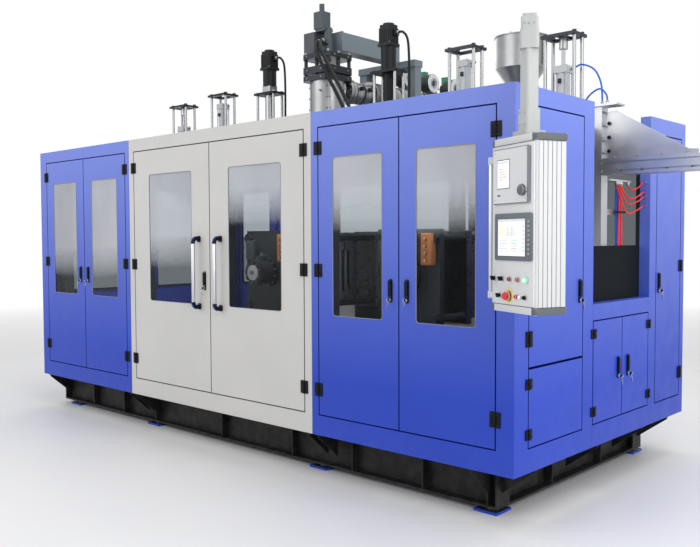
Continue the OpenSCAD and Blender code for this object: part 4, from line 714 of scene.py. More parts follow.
def red_route(number, y, z):
    """Red hose that sags from the same arm to the far column."""
    near = (2 * y + RED_END) / 3 + 0.012
    far = (y + 2 * RED_END) / 3 + 0.006
    return route((HX - 0.098, y, BUNDLE_TOP), (0, 0, -1),
                 [(HX - 0.094 + 0.004 * number, near, min(BUNDLE_TOP, z) - 0.034 - 0.004 * number),
                  (HX - 0.070 + 0.003 * number, far, z - 0.040)], (HX - 0.037, RED_END, z), (0, -1, 0))


PORT_Z = 3.372
PORT_X = 2.375
BUNDLE_TOP = 2.026
BUNDLE_LOW = 1.244
RED_END = 0.566
BUNDLE = ((-0.142, 0.342, 0.005), (-0.118, 0.342, -0.006), (-0.142, 0.372, 0.004), (-0.118, 0.372, 0.006),
          (-0.142, 0.402, -0.004))
RED = ((0.432, 2.045), (0.312, 1.976), (0.282, 1.940), (0.252, 1.880))


def hose_list():
    """Name, route, diameter, finish, slot and replaced node of every hose."""
    up = (0, 0, 1)
    rows = [
        ("head_hose_a", route((0.060, -0.013, PORT_Z), (0, -1, 0),
                              [(0.084, -0.070, 3.345), (0.150, -0.120, 3.250), (0.290, -0.135, 3.045),
                               (0.430, -0.140, 2.835), (0.530, -0.142, 2.640)], (0.560, -0.144, 2.440), up), 0.030),
        ("head_hose_b", route((0.012, -0.013, PORT_Z), (0, -1, 0),
                              [(0.034, -0.078, 3.335), (0.104, -0.130, 3.235), (0.246, -0.150, 3.025),
                               (0.388, -0.158, 2.815), (0.482, -0.162, 2.630)], (0.505, -0.165, 2.440), up), 0.030),
        ("motor_cable_left", motor_route(-0.745, 3.344), 0.020),
        ("motor_cable_right", motor_route(0.725, 3.332), 0.020),
    ]
    hoses = [(*row, "hose black", "hose_black", "head_hoses") for row in rows]
    rows = [
        ("air_hose_upper", route((PORT_X, AXIS_Y, 2.818), (1, 0, 0),
                                 [(2.450, 0.080, 2.836), (2.540, 0.080, 2.790), (2.590, 0.080, 2.690)],
                                 (2.600, 0.080, 2.556), up), 0.012, "hose blue"),
        ("air_hose_lower", route((PORT_X, AXIS_Y, 2.424), (1, 0, 0),
                                 [(2.440, 0.072, 2.480), (2.500, 0.062, 2.600), (2.590, 0.052, 2.650),
                                  (2.640, 0.050, 2.610)], (2.650, 0.050, 2.556), up), 0.012, "hose blue"),
    ]
    for i, (dx, y, sway) in enumerate(BUNDLE):
        rows.append(("bundle_hose_%d" % i, bundle_route(HX + dx, y, sway), 0.014,
                     "hose red" if i in (1, 3) else "hose blue"))
    for i, (y, z) in enumerate(RED):
        rows.append(("red_hose_%d" % i, red_route(i, y, z), 0.010, "hose red"))
    return hoses + [(*row, "hose_blue", "air_hoses") for row in rows]


class MACHINE_OT_camera(bpy.types.Operator):
    """Camera where the machine is looked at from its front right corner"""

    bl_idname = "machine.camera"
    bl_label = "Camera"

    def execute(self, context):
        turn, pitch, roll = math.radians(42.894), math.radians(2.457), math.radians(-0.21)
        right = Vector((math.cos(turn), math.sin(turn), 0))
        ahead = Vector((-math.sin(turn), math.cos(turn), 0)) * math.cos(pitch) + Vector((0, 0, -math.sin(pitch)))
        up = right.cross(ahead)
        side = right * math.cos(roll) + up * math.sin(roll)
        top = up * math.cos(roll) - right * math.sin(roll)
        data = bpy.data.cameras.new("camera")
        data.lens = 42.29
        data.sensor_width = 36
        data.clip_end = 200
        made = bpy.data.objects.new("camera", data)
        context.scene.collection.objects.link(made)
        place = Matrix((side, top, -ahead)).transposed().to_4x4()
        place.translation = (5.144, -5.154, 1.657)
        made.matrix_world = place
        context.scene.camera = made
        return {"FINISHED"}


class MACHINE_OT_hoses(bpy.types.Operator):
    """Every hose and cable, each as a round line of its real length"""

    bl_idname = "machine.hoses"
    bl_label = "Hoses and cables"

    def execute(self, context):
        colours = look("machine")
        moulded("hose black", (0.009, 0.0095, 0.010), 0.55, 0.08, scale=240, Specular_IOR_Level=0.16)
        moulded("hose blue", colours.hose_blue, 0.30, 0.02)
        moulded("hose red", colours.hose_red, 0.30, 0.02)
        for name, line, thick, finish, slot, node in hose_list():
            data = bpy.data.curves.new(name, "CURVE")
            data.dimensions = "3D"
            data.bevel_depth = thick / 2
            data.bevel_resolution = 5
            data.use_fill_caps = True
            spline = data.splines.new("POLY")
            spline.points.add(len(line) - 1)
            for point, spot in zip(spline.points, line):
                point.co = (*spot, 1)
            spline.use_smooth = True
            data.materials.append(finish_of(finish))
            hose = bpy.data.objects.new(name, data)
            context.scene.collection.objects.link(hose)
            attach(hose, "machine")
            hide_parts(node)
        return {"FINISHED"}


# Finish of each node of the frame
NODE_FINISH = {
    "base_frame": "base black", "levelling_feet": "foot black", "left_housing": "blue", "centre_housing": "grey",
    "right_housing": "blue", "outlet_housing": "blue with painted shade inside", "cover_panels": "blue grey middle",
    "cover_panes": "smoked glass", "hinge_leaves": "satin black", "machine_frame": "frame dark",
    "shuttle_rails": "ground steel", "top_deck": "deck grey", "die_head": "polished steel",
    "head_flanges": "black oxide", "parison_cylinder": "control dark", "head_gantry": "gantry grey",
    "extruder_barrel": "barrel cover", "barrel_blowers": "blower black", "extruder_drive": "drive blue",
    "hopper": "brushed steel", "extruder_stand": "gantry grey", "air_cylinders": "cylinder alu",
    "servo_units": "servo rods", "takeout_bracket": "bracket alu", "takeout_beam": "profile alu",
    "door_left_outer": "blue", "door_left_inner": "blue", "door_centre_left": "grey", "door_centre_right": "grey",
    "door_right_inner": "blue", "door_right_outer": "blue", "pane_left_outer": "glass left",
    "pane_left_inner": "glass left", "pane_centre_left": "glass centre left",
    "pane_centre_right": "glass centre right", "pane_right_inner": "glass right", "pane_right_outer": "glass right",
    "end_door_upper": "blue", "end_door_lower": "blue", "outlet_door_front": "blue", "outlet_door_rear": "blue",
    "column_door": "blue", "pendant_boom": "pale alu", "pendant_post": "pale alu", "pendant_box": "pendant alu",
    "stop_button": "stop red", "left_carriage": "carriage dark", "right_carriage": "carriage dark",
    "left_front_mould": "mould alu", "left_rear_mould": "mould alu", "right_front_mould": "mould alu",
    "right_rear_mould": "mould alu", "left_pin_frame": "chrome inner", "left_punch_frame": "chrome outer",
    "right_pin_frame": "chrome inner", "right_punch_frame": "chrome outer",
}


# Panes: colour, height at which the painted reflection on the upper part begins, and how dense it is
PANES = (
    ("smoked glass", (0.130, 0.145, 0.155), 0, 0), ("glass left", (0.93, 0.96, 0.965), 1.43, 0.64),
    ("glass centre left", (0.93, 0.96, 0.965), 1.53, 0.62), ("glass centre right", (0.93, 0.96, 0.965), 1.87, 0.66),
    ("glass right", (0.93, 0.96, 0.965), 1.80, 0.66),
)


# Door openings: axis along the side, its two ends, bottom, top, and whether two leaves meet in it
def door_openings():
    rows = [("X", span[0], span[1], DOOR_LOW, DOOR_HIGH, True) for span in SPANS.values()]
    for low, high, bottom, top, pair in END_OPENINGS:
        rows.append(("Y", -HY + low, -HY + high, Z0 + bottom, Z0 + top, pair))
    return rows


class MACHINE_OT_finishes(bpy.types.Operator):
    """Paints, metals, glass and plastics, and the finish of every node of the frame"""

    bl_idname = "machine.finishes"
    bl_label = "Finishes"

    def execute(self, context):
        self.paints(look("cabinet"), look("machine"))
        self.metals(look("machine"))
        self.plastics()
        for name, finish in NODE_FINISH.items():
            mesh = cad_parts[name].data
            mesh.materials.clear()
            mesh.materials.append(finish_of(finish))
        return {"FINISHED"}

    def paints(self, sheet, tones):
        gloss, peel = sheet.gloss, sheet.peel
        openings = door_openings()
        # Painted shade: darker copies of the blue and grey paints, laid beside the door gaps where shade falls into
        # them
        paint("gap shade blue", (0.002, 0.010, 0.130), 0.7, shine=0.05)
        paint("gap shade grey", (0.120, 0.119, 0.115), 0.7, shine=0.05)
        # The three blue paints carry the painted sheen towards the roof and the dust near the floor
        blue, middle, inside = [paint(name, sheet.blue, gloss, top=sheet.blue_painted_sheen, peel=peel, dust=0.12)
                                for name in ("blue", "blue grey middle", "blue with painted shade inside")]
        blue.where(blue.seams([row for row in openings if row[0] == "Y" or abs(mid(row[1:3])) > 1], GAP_SHADE_WIDTH),
                   Finish.made["gap shade blue"])
        grey = paint("grey", sheet.grey, gloss + 0.04, spread=0.03, peel=peel, dust=0.10)
        grey.where(grey.seams([row for row in openings if row[0] == "X" and abs(mid(row[1:3])) < 1], GAP_SHADE_WIDTH),
                   Finish.made["gap shade grey"])
        # Near black paint for the painted shade inside the outlet housing
        dark = paint("outlet painted shade", (0.008, 0.010, 0.012), 0.7, shine=0.06)
        middle.where(middle.within("X", -BAY_X, BAY_X), grey)
        inside.where(inside.seams([row for row in openings if row[0] == "Y"], GAP_SHADE_WIDTH), Finish.made["gap shade blue"])
        # Painted shade: the inner wall of the outlet housing, above its floor, is painted near black to stand for the
        # shade inside the outlet
        shade_depth = inside.math("LESS_THAN", inside.axis("X"), 2.648)
        high = inside.math("GREATER_THAN", inside.axis("Z"), 1.2297)
        inside.where(inside.math("MULTIPLY", shade_depth, high), dark)
        paint("base black", tones.black, 0.46, dust=0.10, shine=0.2)
        paint("foot black", shade(tones.black, 1.3), 0.5, dust=0.15)
        paint("satin black", (0.006, 0.006, 0.007), 0.45, shine=0.12)
        paint("cap grey", (0.105, 0.116, 0.124), 0.42)
        paint("bezel grey", (0.192, 0.202, 0.220), 0.42)
        paint("servo paint", (0.010, 0.011, 0.013), 0.42, shine=0.16)
        paint("frame dark", (0.033, 0.042, 0.049), 0.5, dust=0.1)
        paint("carriage dark", (0.026, 0.031, 0.035), 0.42)
        paint("deck grey", tones.deck, 0.5)
        paint("gantry grey", shade(tones.deck, 0.95), 0.46, dust=0.1)
        paint("drive blue", (0.026, 0.090, 0.294), 0.38)
        paint("control dark", (0.054, 0.067, 0.077), 0.42)
        paint("blue cap", shade(sheet.blue, 0.9), 0.35)
        paint("blower silver", (0.512, 0.525, 0.538), 0.32, spread=0.03)
        paint("terminal green", (0.028, 0.192, 0.109), 0.42)
        paint("heater orange", (0.512, 0.192, 0.070), 0.5)

    def metals(self, tones):
        steel, alu = tones.steel, tones.aluminium
        metal("ground steel", steel, 0.26, (1, 30, 30), 40)
        metal("polished steel", shade(steel, 1.00), 0.38, (1, 1, 14), 30, spread=0.08, strength=0.02)
        metal("brushed steel", shade(steel, 1.00), 0.32, (1, 1, 22), 50, spread=0.10)
        metal("barrel cover", shade(steel, 0.92), 0.40, (14, 1, 14), 26, spread=0.1, strength=0.04)
        metal("chrome", (0.310, 0.318, 0.330), 0.24, (1, 1, 8), 40, spread=0.05, strength=0.01)
        metal("lock chrome", (0.560, 0.570, 0.585), 0.22, spread=0.03, strength=0.01)
        oxide = metal("black oxide", (0.030, 0.034, 0.040), 0.36, (6, 6, 1), 50)
        # Lift frames: bright rods between black rings
        for name, low in (("chrome inner", DECK_Z + 0.6745), ("chrome outer", DECK_Z + 0.6345)):
            rods = metal(name, (0.310, 0.318, 0.330), 0.24, (1, 1, 8), 40, spread=0.05, strength=0.01)
            rods.where(rods.math("GREATER_THAN", rods.axis("Z"), low), oxide)
        # Servo units: bright rods and screw tube under the left plate, the rest black
        servo = metal("servo rods", (0.300, 0.308, 0.320), 0.26, (1, 1, 8), 40, spread=0.05, strength=0.01)
        plate = servo.math("GREATER_THAN", servo.axis("Z"), SERVO_TOP - 0.0205)
        left = servo.math("LESS_THAN", servo.axis("X"), 0.0)
        tube = servo.math("MULTIPLY", servo.within("X", SERVO_X[1] - 0.060, SERVO_X[1] + 0.060),
                          servo.within("Y", AXIS_Y - 0.06, AXIS_Y + 0.06))
        neck = servo.math("MULTIPLY", left, servo.within("Z", SERVO_TOP + 0.0008, SERVO_TOP + 0.0590))
        dark = servo.math("MAXIMUM", servo.math("SUBTRACT", plate, neck), tube)
        servo.where(dark, Finish.made["servo paint"])
        metal("screw steel", shade(steel, 0.7), 0.34, scale=90)
        paint("cylinder alu", (0.512, 0.525, 0.538), 0.40, spread=0.03)
        metal("profile alu", shade(alu, 1.75), 0.38, (30, 1, 1), 24)
        metal("mould alu", shade(alu, 0.94), 0.3, (18, 1, 1), 30, spread=0.05)
        metal("brass", (0.620, 0.430, 0.170), 0.3)
        metal("bracket alu", shade(alu, 1.60), 0.42, (1, 1, 12), 30, spread=0.10, strength=0.05)
        paint("pale alu", (0.446, 0.463, 0.452), 0.40, spread=0.02)
        paint("pendant alu", (0.600, 0.606, 0.612), 0.42, spread=0.02, peel=0.03, shine=0.16)
        paint("pendant face", (0.655, 0.662, 0.668), 0.38, spread=0.02)
        paint("bezel dark", (0.128, 0.143, 0.166), 0.36, spread=0.03)

    def plastics(self):
        moulded("rubber", (0.016, 0.016, 0.017), 0.62, 0.08)
        moulded("servo black", (0.024, 0.025, 0.028), 0.42, 0.06, scale=200)
        moulded("blower black", (0.022, 0.024, 0.026), 0.40, 0.05)
        moulded("plastic black", (0.018, 0.018, 0.020), 0.38)
        moulded("plastic grey", (0.324, 0.336, 0.342), 0.42)
        moulded("stop red", (0.672, 0.014, 0.017), 0.24, 0.01, Coat_Weight=0.4)
        moulded("button red", (0.624, 0.024, 0.022), 0.24, 0.01)
        moulded("button dark red", (0.240, 0.014, 0.014), 0.26, 0.01)
        moulded("button green", (0.036, 0.396, 0.096), 0.26, 0.01)
        moulded("label yellow", (0.912, 0.672, 0.036), 0.4, 0.01)
        # Window seals: real seals, in a pale grey that paints the highlight along the window edges
        moulded("pale seal highlight", (0.252, 0.270, 0.312), 0.5, 0.02)
        glowing("lamp green", (0.10, 0.60, 0.30), 1.2)
        glowing("lamp core", (0.62, 0.95, 0.80), 1.1)
        # Pale grey for the painted reflection on the panes' upper parts
        painted_reflection = Finish("painted_reflection", (0.56, 0.58, 0.62), 0.5)
        for name, colour, level, share in PANES:
            glass = Finish(name, colour, 0.02, Transmission_Weight=1.0, IOR=1.12)
            glass.feed("Roughness", glass.level(glass.noise(5, 6), 0.45, 0.8, 0.01, 0.06))
            # Painted reflection: above the pane's height the glass turns pale grey in soft clouds, a reflection of
            # the bright surrounding painted in
            if share:
                edge = glass.math("ADD", glass.axis("Z"), glass.math("MULTIPLY", glass.noise(0.9, 1), 0.12))
                reflection_cloud = glass.level(glass.noise(1.3, 3, (1.0, 1.0, 0.45)), 0.35, 0.65, 0.72 * share, share)
                glass.where(glass.math("MULTIPLY", glass.level(edge, level - 0.06, level + 0.22), reflection_cloud), painted_reflection)
        screen = Finish("screen", (0.012, 0.014, 0.018), 0.12, Coat_Weight=0.6)
        screen.feed("Roughness", screen.level(screen.noise(16, 4), 0.3, 0.7, 0.08, 0.18))


class MACHINE_OT_stage(bpy.types.Operator):
    """Pale floor, soft studio lamps and a white surrounding"""

    bl_idname = "machine.stage"
    bl_label = "Stage"

    def execute(self, context):
        settings = look("stage")
        self.floor(context, settings)
        self.surroundings(context)
        self.lamp(context, "key lamp", settings.key, (-3.5, -8.0, 5.6), (0.4, -0.4, 1.5), 8.0)
        self.lamp(context, "fill lamp", settings.fill, (8.6, -2.4, 4.6), (2.2, 0.0, 1.5), 9.0)
        self.lamp(context, "top lamp", 0.75 * settings.fill, (1.5, 1.0, 8.5), (0.5, 0.6, 1.5), 8.0)
        self.lamp(context, "back lamp", 0.8 * settings.key, (-7.0, 7.5, 5.4), (0.0, 0.6, 1.5), 8.0)
        for i, x in enumerate((-1.9, 0.02, 1.85)):
            lamp = self.lamp(context, "inside lamp %d" % i, settings.inside, (x, -0.62, 2.20), (x, 0.1, 1.1), 0.7)
            for rays in ("visible_camera", "visible_transmission", "visible_glossy"):
                setattr(lamp, rays, False)
        context.scene.view_settings.view_transform = "Standard"
        return {"FINISHED"}

    def lamp(self, context, name, power, spot, target, size):
        data = bpy.data.lights.new(name, "AREA")
        data.energy = power
        data.size = size
        made = bpy.data.objects.new(name, data)
        context.scene.collection.objects.link(made)
        aim = (Vector(target) - Vector(spot)).to_track_quat("-Z", "Y").to_matrix().to_4x4()
        made.matrix_world = Matrix.Translation(spot) @ aim
        return made

    def floor(self, context, settings):
        mesh = bpy.data.meshes.new("floor")
        edge = 60
        mesh.from_pydata([(-edge, -edge, -0.0005), (edge, -edge, -0.0005), (edge, edge, -0.0005),
                          (-edge, edge, -0.0005)],
                         [], [(0, 1, 2, 3)])
        f = Finish("floor", settings.floor, 0.55)
        f.feed("Base Color", f.mix(f.level(f.noise(0.9, 4), 0.3, 0.7), shade(settings.floor, 0.98), settings.floor))
        f.feed("Roughness", f.level(f.noise(3, 4), 0.3, 0.7, 0.5, 0.62))
        far = f.node("VectorMath", n0=f.coords)
        far.operation = "LENGTH"
        share = f.level(far.outputs["Value"], 6.5, 15.0)
        white = f.node("Emission", Color=(1, 1, 1, 1), Strength=1.0)
        blend = f.node("MixShader", n0=f.math("MULTIPLY", share, direct_rays(f.tree)), n1=f.shader.outputs[0],
                       n2=white.outputs[0])
        f.tree.links.new(blend.outputs[0], f.output.inputs["Surface"])
        mesh.materials.append(f.material)
        made = bpy.data.objects.new("floor", mesh)
        context.scene.collection.objects.link(made)

    def surroundings(self, context):
        world = bpy.data.worlds.new("surroundings")
        world.use_nodes = True
        context.scene.world = world
        tree = world.node_tree
        nodes = tree.nodes
        light = nodes["Background"]
        white = nodes.new("ShaderNodeBackground")
        for background, colour, strength in ((light, (0.93, 0.95, 1.0, 1), 0.49), (white, (1, 1, 1, 1), 1.0)):
            fill_in(tree, background, {"Color": colour, "Strength": strength})
        mix = fill_in(tree, nodes.new("ShaderNodeMixShader"),
                      {"n0": direct_rays(tree), "n1": light.outputs[0], "n2": white.outputs[0]})
        tree.links.new(mix.outputs[0], nodes["World Output"].inputs["Surface"])


# Every door: body, place of its side, hinge axis along the side, side of its leaf, hinge heights and half height,
# and the place of its swing handle
def door_list():
    rows = []
    for bay, span in SPANS.items():
        for side, name in zip((-1, 1), DOORS[bay]):
            hinge = span[1] - GAP / 2 if side > 0 else span[0] + GAP / 2
            handle = None if name == "centre_right_door" else (mid(span) + side * 0.066, 1.018)
            rows.append((name, front, hinge, -side, TALL, 0.0445, handle))
    rows += [
        ("upper_end_door", end, 0.152, 1, (0.770, 1.330, 1.953), 0.0445, (0.750, 1.016)),
        ("lower_end_door", end, 0.152, 1, (0.223, 0.512), 0.030, None),
        ("front_outlet_door", end, 0.945, 1, (0.230, 0.730), 0.030, (1.300, 0.477)),
        ("rear_outlet_door", end, 1.786, -1, (0.230, 0.730), 0.030, (1.447, 0.477)),
        ("far_column_door", end, 2.358, -1, TALL, 0.0445, (1.953, 1.016)),
    ]
    return rows


class MACHINE_OT_swing_handles(bpy.types.Operator):
    """Black swing handles with their chromed locks and hanging keys"""

    bl_idname = "machine.swing_handles"
    bl_label = "Swing handles"

    def execute(self, context):
        for body, side, *_, handle in door_list():
            if not handle:
                continue
            m = Maker(side(*handle))
            m.plate(rounded(-0.0145, -0.0745, 0.0145, 0.0745, 0.0135), -0.0054, 0.0001, 0.0012)
            m.plate(rounded(-0.0114, -0.0404, 0.0114, 0.0704, 0.0094), -0.0156, -0.0048, 0.0034, 3)
            m.plate(rounded(-0.0070, 0.0480, 0.0070, 0.0640, 0.0065), -0.0166, -0.0150, 0.0006)
            m.mat = 1
            m.ring((0, -0.0149, -0.057), (0, 1, 0), 0.0062, 0.0096, 0.0100, 32, 0.0008)
            m.rod("Y", (0, -0.0002, -0.057), -0.0142, 0.0093, edge=0.0006)
            # Key: blade in the lock, bow and its ring
            m.box((-0.0016, -0.0190, -0.0612), (0.0016, -0.0116, -0.0486), 0.0004)
            m.rod("X", (-0.0017, -0.0282, -0.057), 0.0017, 0.0124, edge=0.0008)
            m.box((-0.0017, -0.0346, -0.0656), (0.0017, -0.0112, -0.0484), 0.0004)
            loop = [(0.0075 * math.sin(a), -0.0330, -0.0740 + 0.0145 * math.cos(a))
                    for a in [math.pi * 2 * k / 20 for k in range(21)]]
            m.tube(loop, 0.0008, 8)
            m.box((-0.0012, -0.0385, -0.1130), (0.0012, -0.0275, -0.0860), 0.0030)
            m.done(body + "_handle", body, ["satin black", "lock chrome"])
        return {"FINISHED"}


class MACHINE_OT_hinges(bpy.types.Operator):
    """Black hinge halves of the doors, and the screws of all hinge leaves"""

    bl_idname = "machine.hinges"
    bl_label = "Hinges"

    def execute(self, context):
        size = look("sizes").hinge_screw
        fixed = []
        for body, side, hinge, leaf, heights, half, _ in door_list():
            m = Maker(side())
            own = []
            place = side()
            third = 2 * half / 3
            for z in heights:
                near, far = leaf * 0.0081, leaf * 0.0354
                m.box((hinge + min(near, far), -0.0064, z - half - 0.0003),
                      (hinge + max(near, far), 0.0001, z + half + 0.0003),
                      0.0012)
                low, high = sorted((leaf * 0.0018, leaf * 0.0092))
                m.box((hinge + low, -0.0063, z - third / 2 + 0.0004), (hinge + high, -0.0001, z + third / 2 - 0.0004))
                m.rod("Z", (hinge, -HINGE_OFF, z - third / 2 + 0.0004), z + third / 2 - 0.0004, 0.0073, 28, 0.0004)
                rise = half - 0.0135
                for dx in (0.0150, 0.0280):
                    for dz in (-rise, rise):
                        own.append(place @ Vector((hinge + leaf * dx, -0.0063, z + dz)))
                        fixed.append(place @ Vector((hinge - leaf * dx, -0.0060, z + dz)))
            m.done(body + "_hinges", body, ["satin black"])
            out = (place.to_3x3() @ Vector((0, -1, 0)))
            screwed(body + "_hinge_screws", own, body, "black oxide", [out] * len(own), size, 0.0022, 16)
            screwed(body + "_frame_screws", fixed[-len(own):], "machine", "black oxide", [out] * len(own), size,
                    0.0022, 16)
        return {"FINISHED"}


class MACHINE_OT_windows(bpy.types.Operator):
    """Rubber seals round the windows, pale grey to paint the highlight along the window edges"""

    bl_idname = "machine.windows"
    bl_label = "Window seals"

    def execute(self, context):
        lip = look("sizes").seal
        for bay, span in SPANS.items():
            margin = CENTRE_MARGIN if bay == "centre" else SIDE_MARGIN
            width = (span[1] - span[0]) / 2 - 1.5 * GAP
            for start, body in zip((span[0] + GAP, mid(span) + GAP / 2), DOORS[bay]):
                m = Maker(front())
                self.seal(m, start + margin, start + width - margin, lip)
                m.done(body + "_seal", body, ["pale seal highlight"])
        self.covers(lip)
        return {"FINISHED"}

    def seal(self, m, x0, x1, lip):
        z0, z1 = WINDOW_LOW, WINDOW_HIGH
        outer = rounded(x0 - lip, z0 - lip, x1 + lip, z1 + lip, WINDOW_R + lip)
        inner = rounded(x0 + lip * 0.6, z0 + lip * 0.6, x1 - lip * 0.6, z1 - lip * 0.6, WINDOW_R - lip * 0.6)
        m.frame(outer, inner, -0.0016, 0.0029)

    def covers(self, lip):
        """Seals of the covers at the back and at the left end."""
        for name, x0, x1 in (("left", -HX, -BAY_X - 0.0015), ("centre", -BAY_X + 0.0015, BAY_X - 0.0015),
                             ("right", BAY_X + 0.0015, HX - 0.078)):
            m = Maker(Matrix.Translation((x1, HY, Z0)) @ Matrix.Rotation(math.pi, 4, "Z"))
            width = (x1 - x0 - 0.2) / 2 - 0.008
            for i in (0, 1):
                start = 0.104 + i * (width + 0.008)
                self.seal(m, start + 0.110, start + width - 0.110, lip)
            m.done(name + "_rear_seals", "machine", ["pale seal highlight"])
        m = Maker(Matrix.Translation((-HX, HY, Z0)) @ Matrix.Rotation(-math.pi / 2, 4, "Z"))
        for start in (0.154, HY + 0.034):
            self.seal(m, start + 0.110, start + HY - 0.188 - 0.110, lip)
        m.done("end_seals", "machine", ["pale seal highlight"])


class MACHINE_OT_pull_handles(bpy.types.Operator):
    """Tubular pull handles on curved black brackets with blue caps"""

    bl_idname = "machine.pull_handles"
    bl_label = "Pull handles"

    def execute(self, context):
        for name, side, body in (("pull_handle_left", -1, "centre_left_door"),
                                 ("pull_handle_right", 1, "centre_right_door")):
            m = Maker(front(side * 0.134, 1.080))
            m.rod("Z", (0, -0.062, -0.240), 0.240, 0.014, 40, 0.001)
            for s in (-1, 1):
                z = s * 0.265
                m.mat = 1
                m.plate([(p[0], p[1] + z) for p in rounded(-0.019, -0.024, 0.019, 0.024, 0.010)], -0.0115, -0.0001,
                        0.003, 3)
                turn = [math.radians(7.5 * k) for k in range(13)]
                bend = [(0, -0.004, z + s * 0.004), (0, -0.018, z + s * 0.004)]
                bend += [(0, -0.030 - 0.032 * math.sin(a), z + s * (0.032 * math.cos(a) - 0.028)) for a in turn]
                m.tube([Vector(p) for p in bend + [(0, -0.062, z - s * 0.036)]], 0.0165, 24)
                m.mat = 3
                for dx in (-0.0135, 0.0135):
                    m.rod("Y", (dx, -0.0112, z - s * 0.017), -0.0130, 0.0034, 18, 0.0006)
                # Blue cap along the outside of the bend
                m.mat = 2
                cap = [(0, -0.030 - 0.0405 * math.sin(a), z + s * (0.0405 * math.cos(a) - 0.028)) for a in turn[1:12]]
                m.tube([Vector(p) for p in cap], 0.0100, 16)
            made = m.done(name + "_detail", body, ["profile alu", "satin black", "blue cap", "screw steel"])
            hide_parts(name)
        return {"FINISHED"}


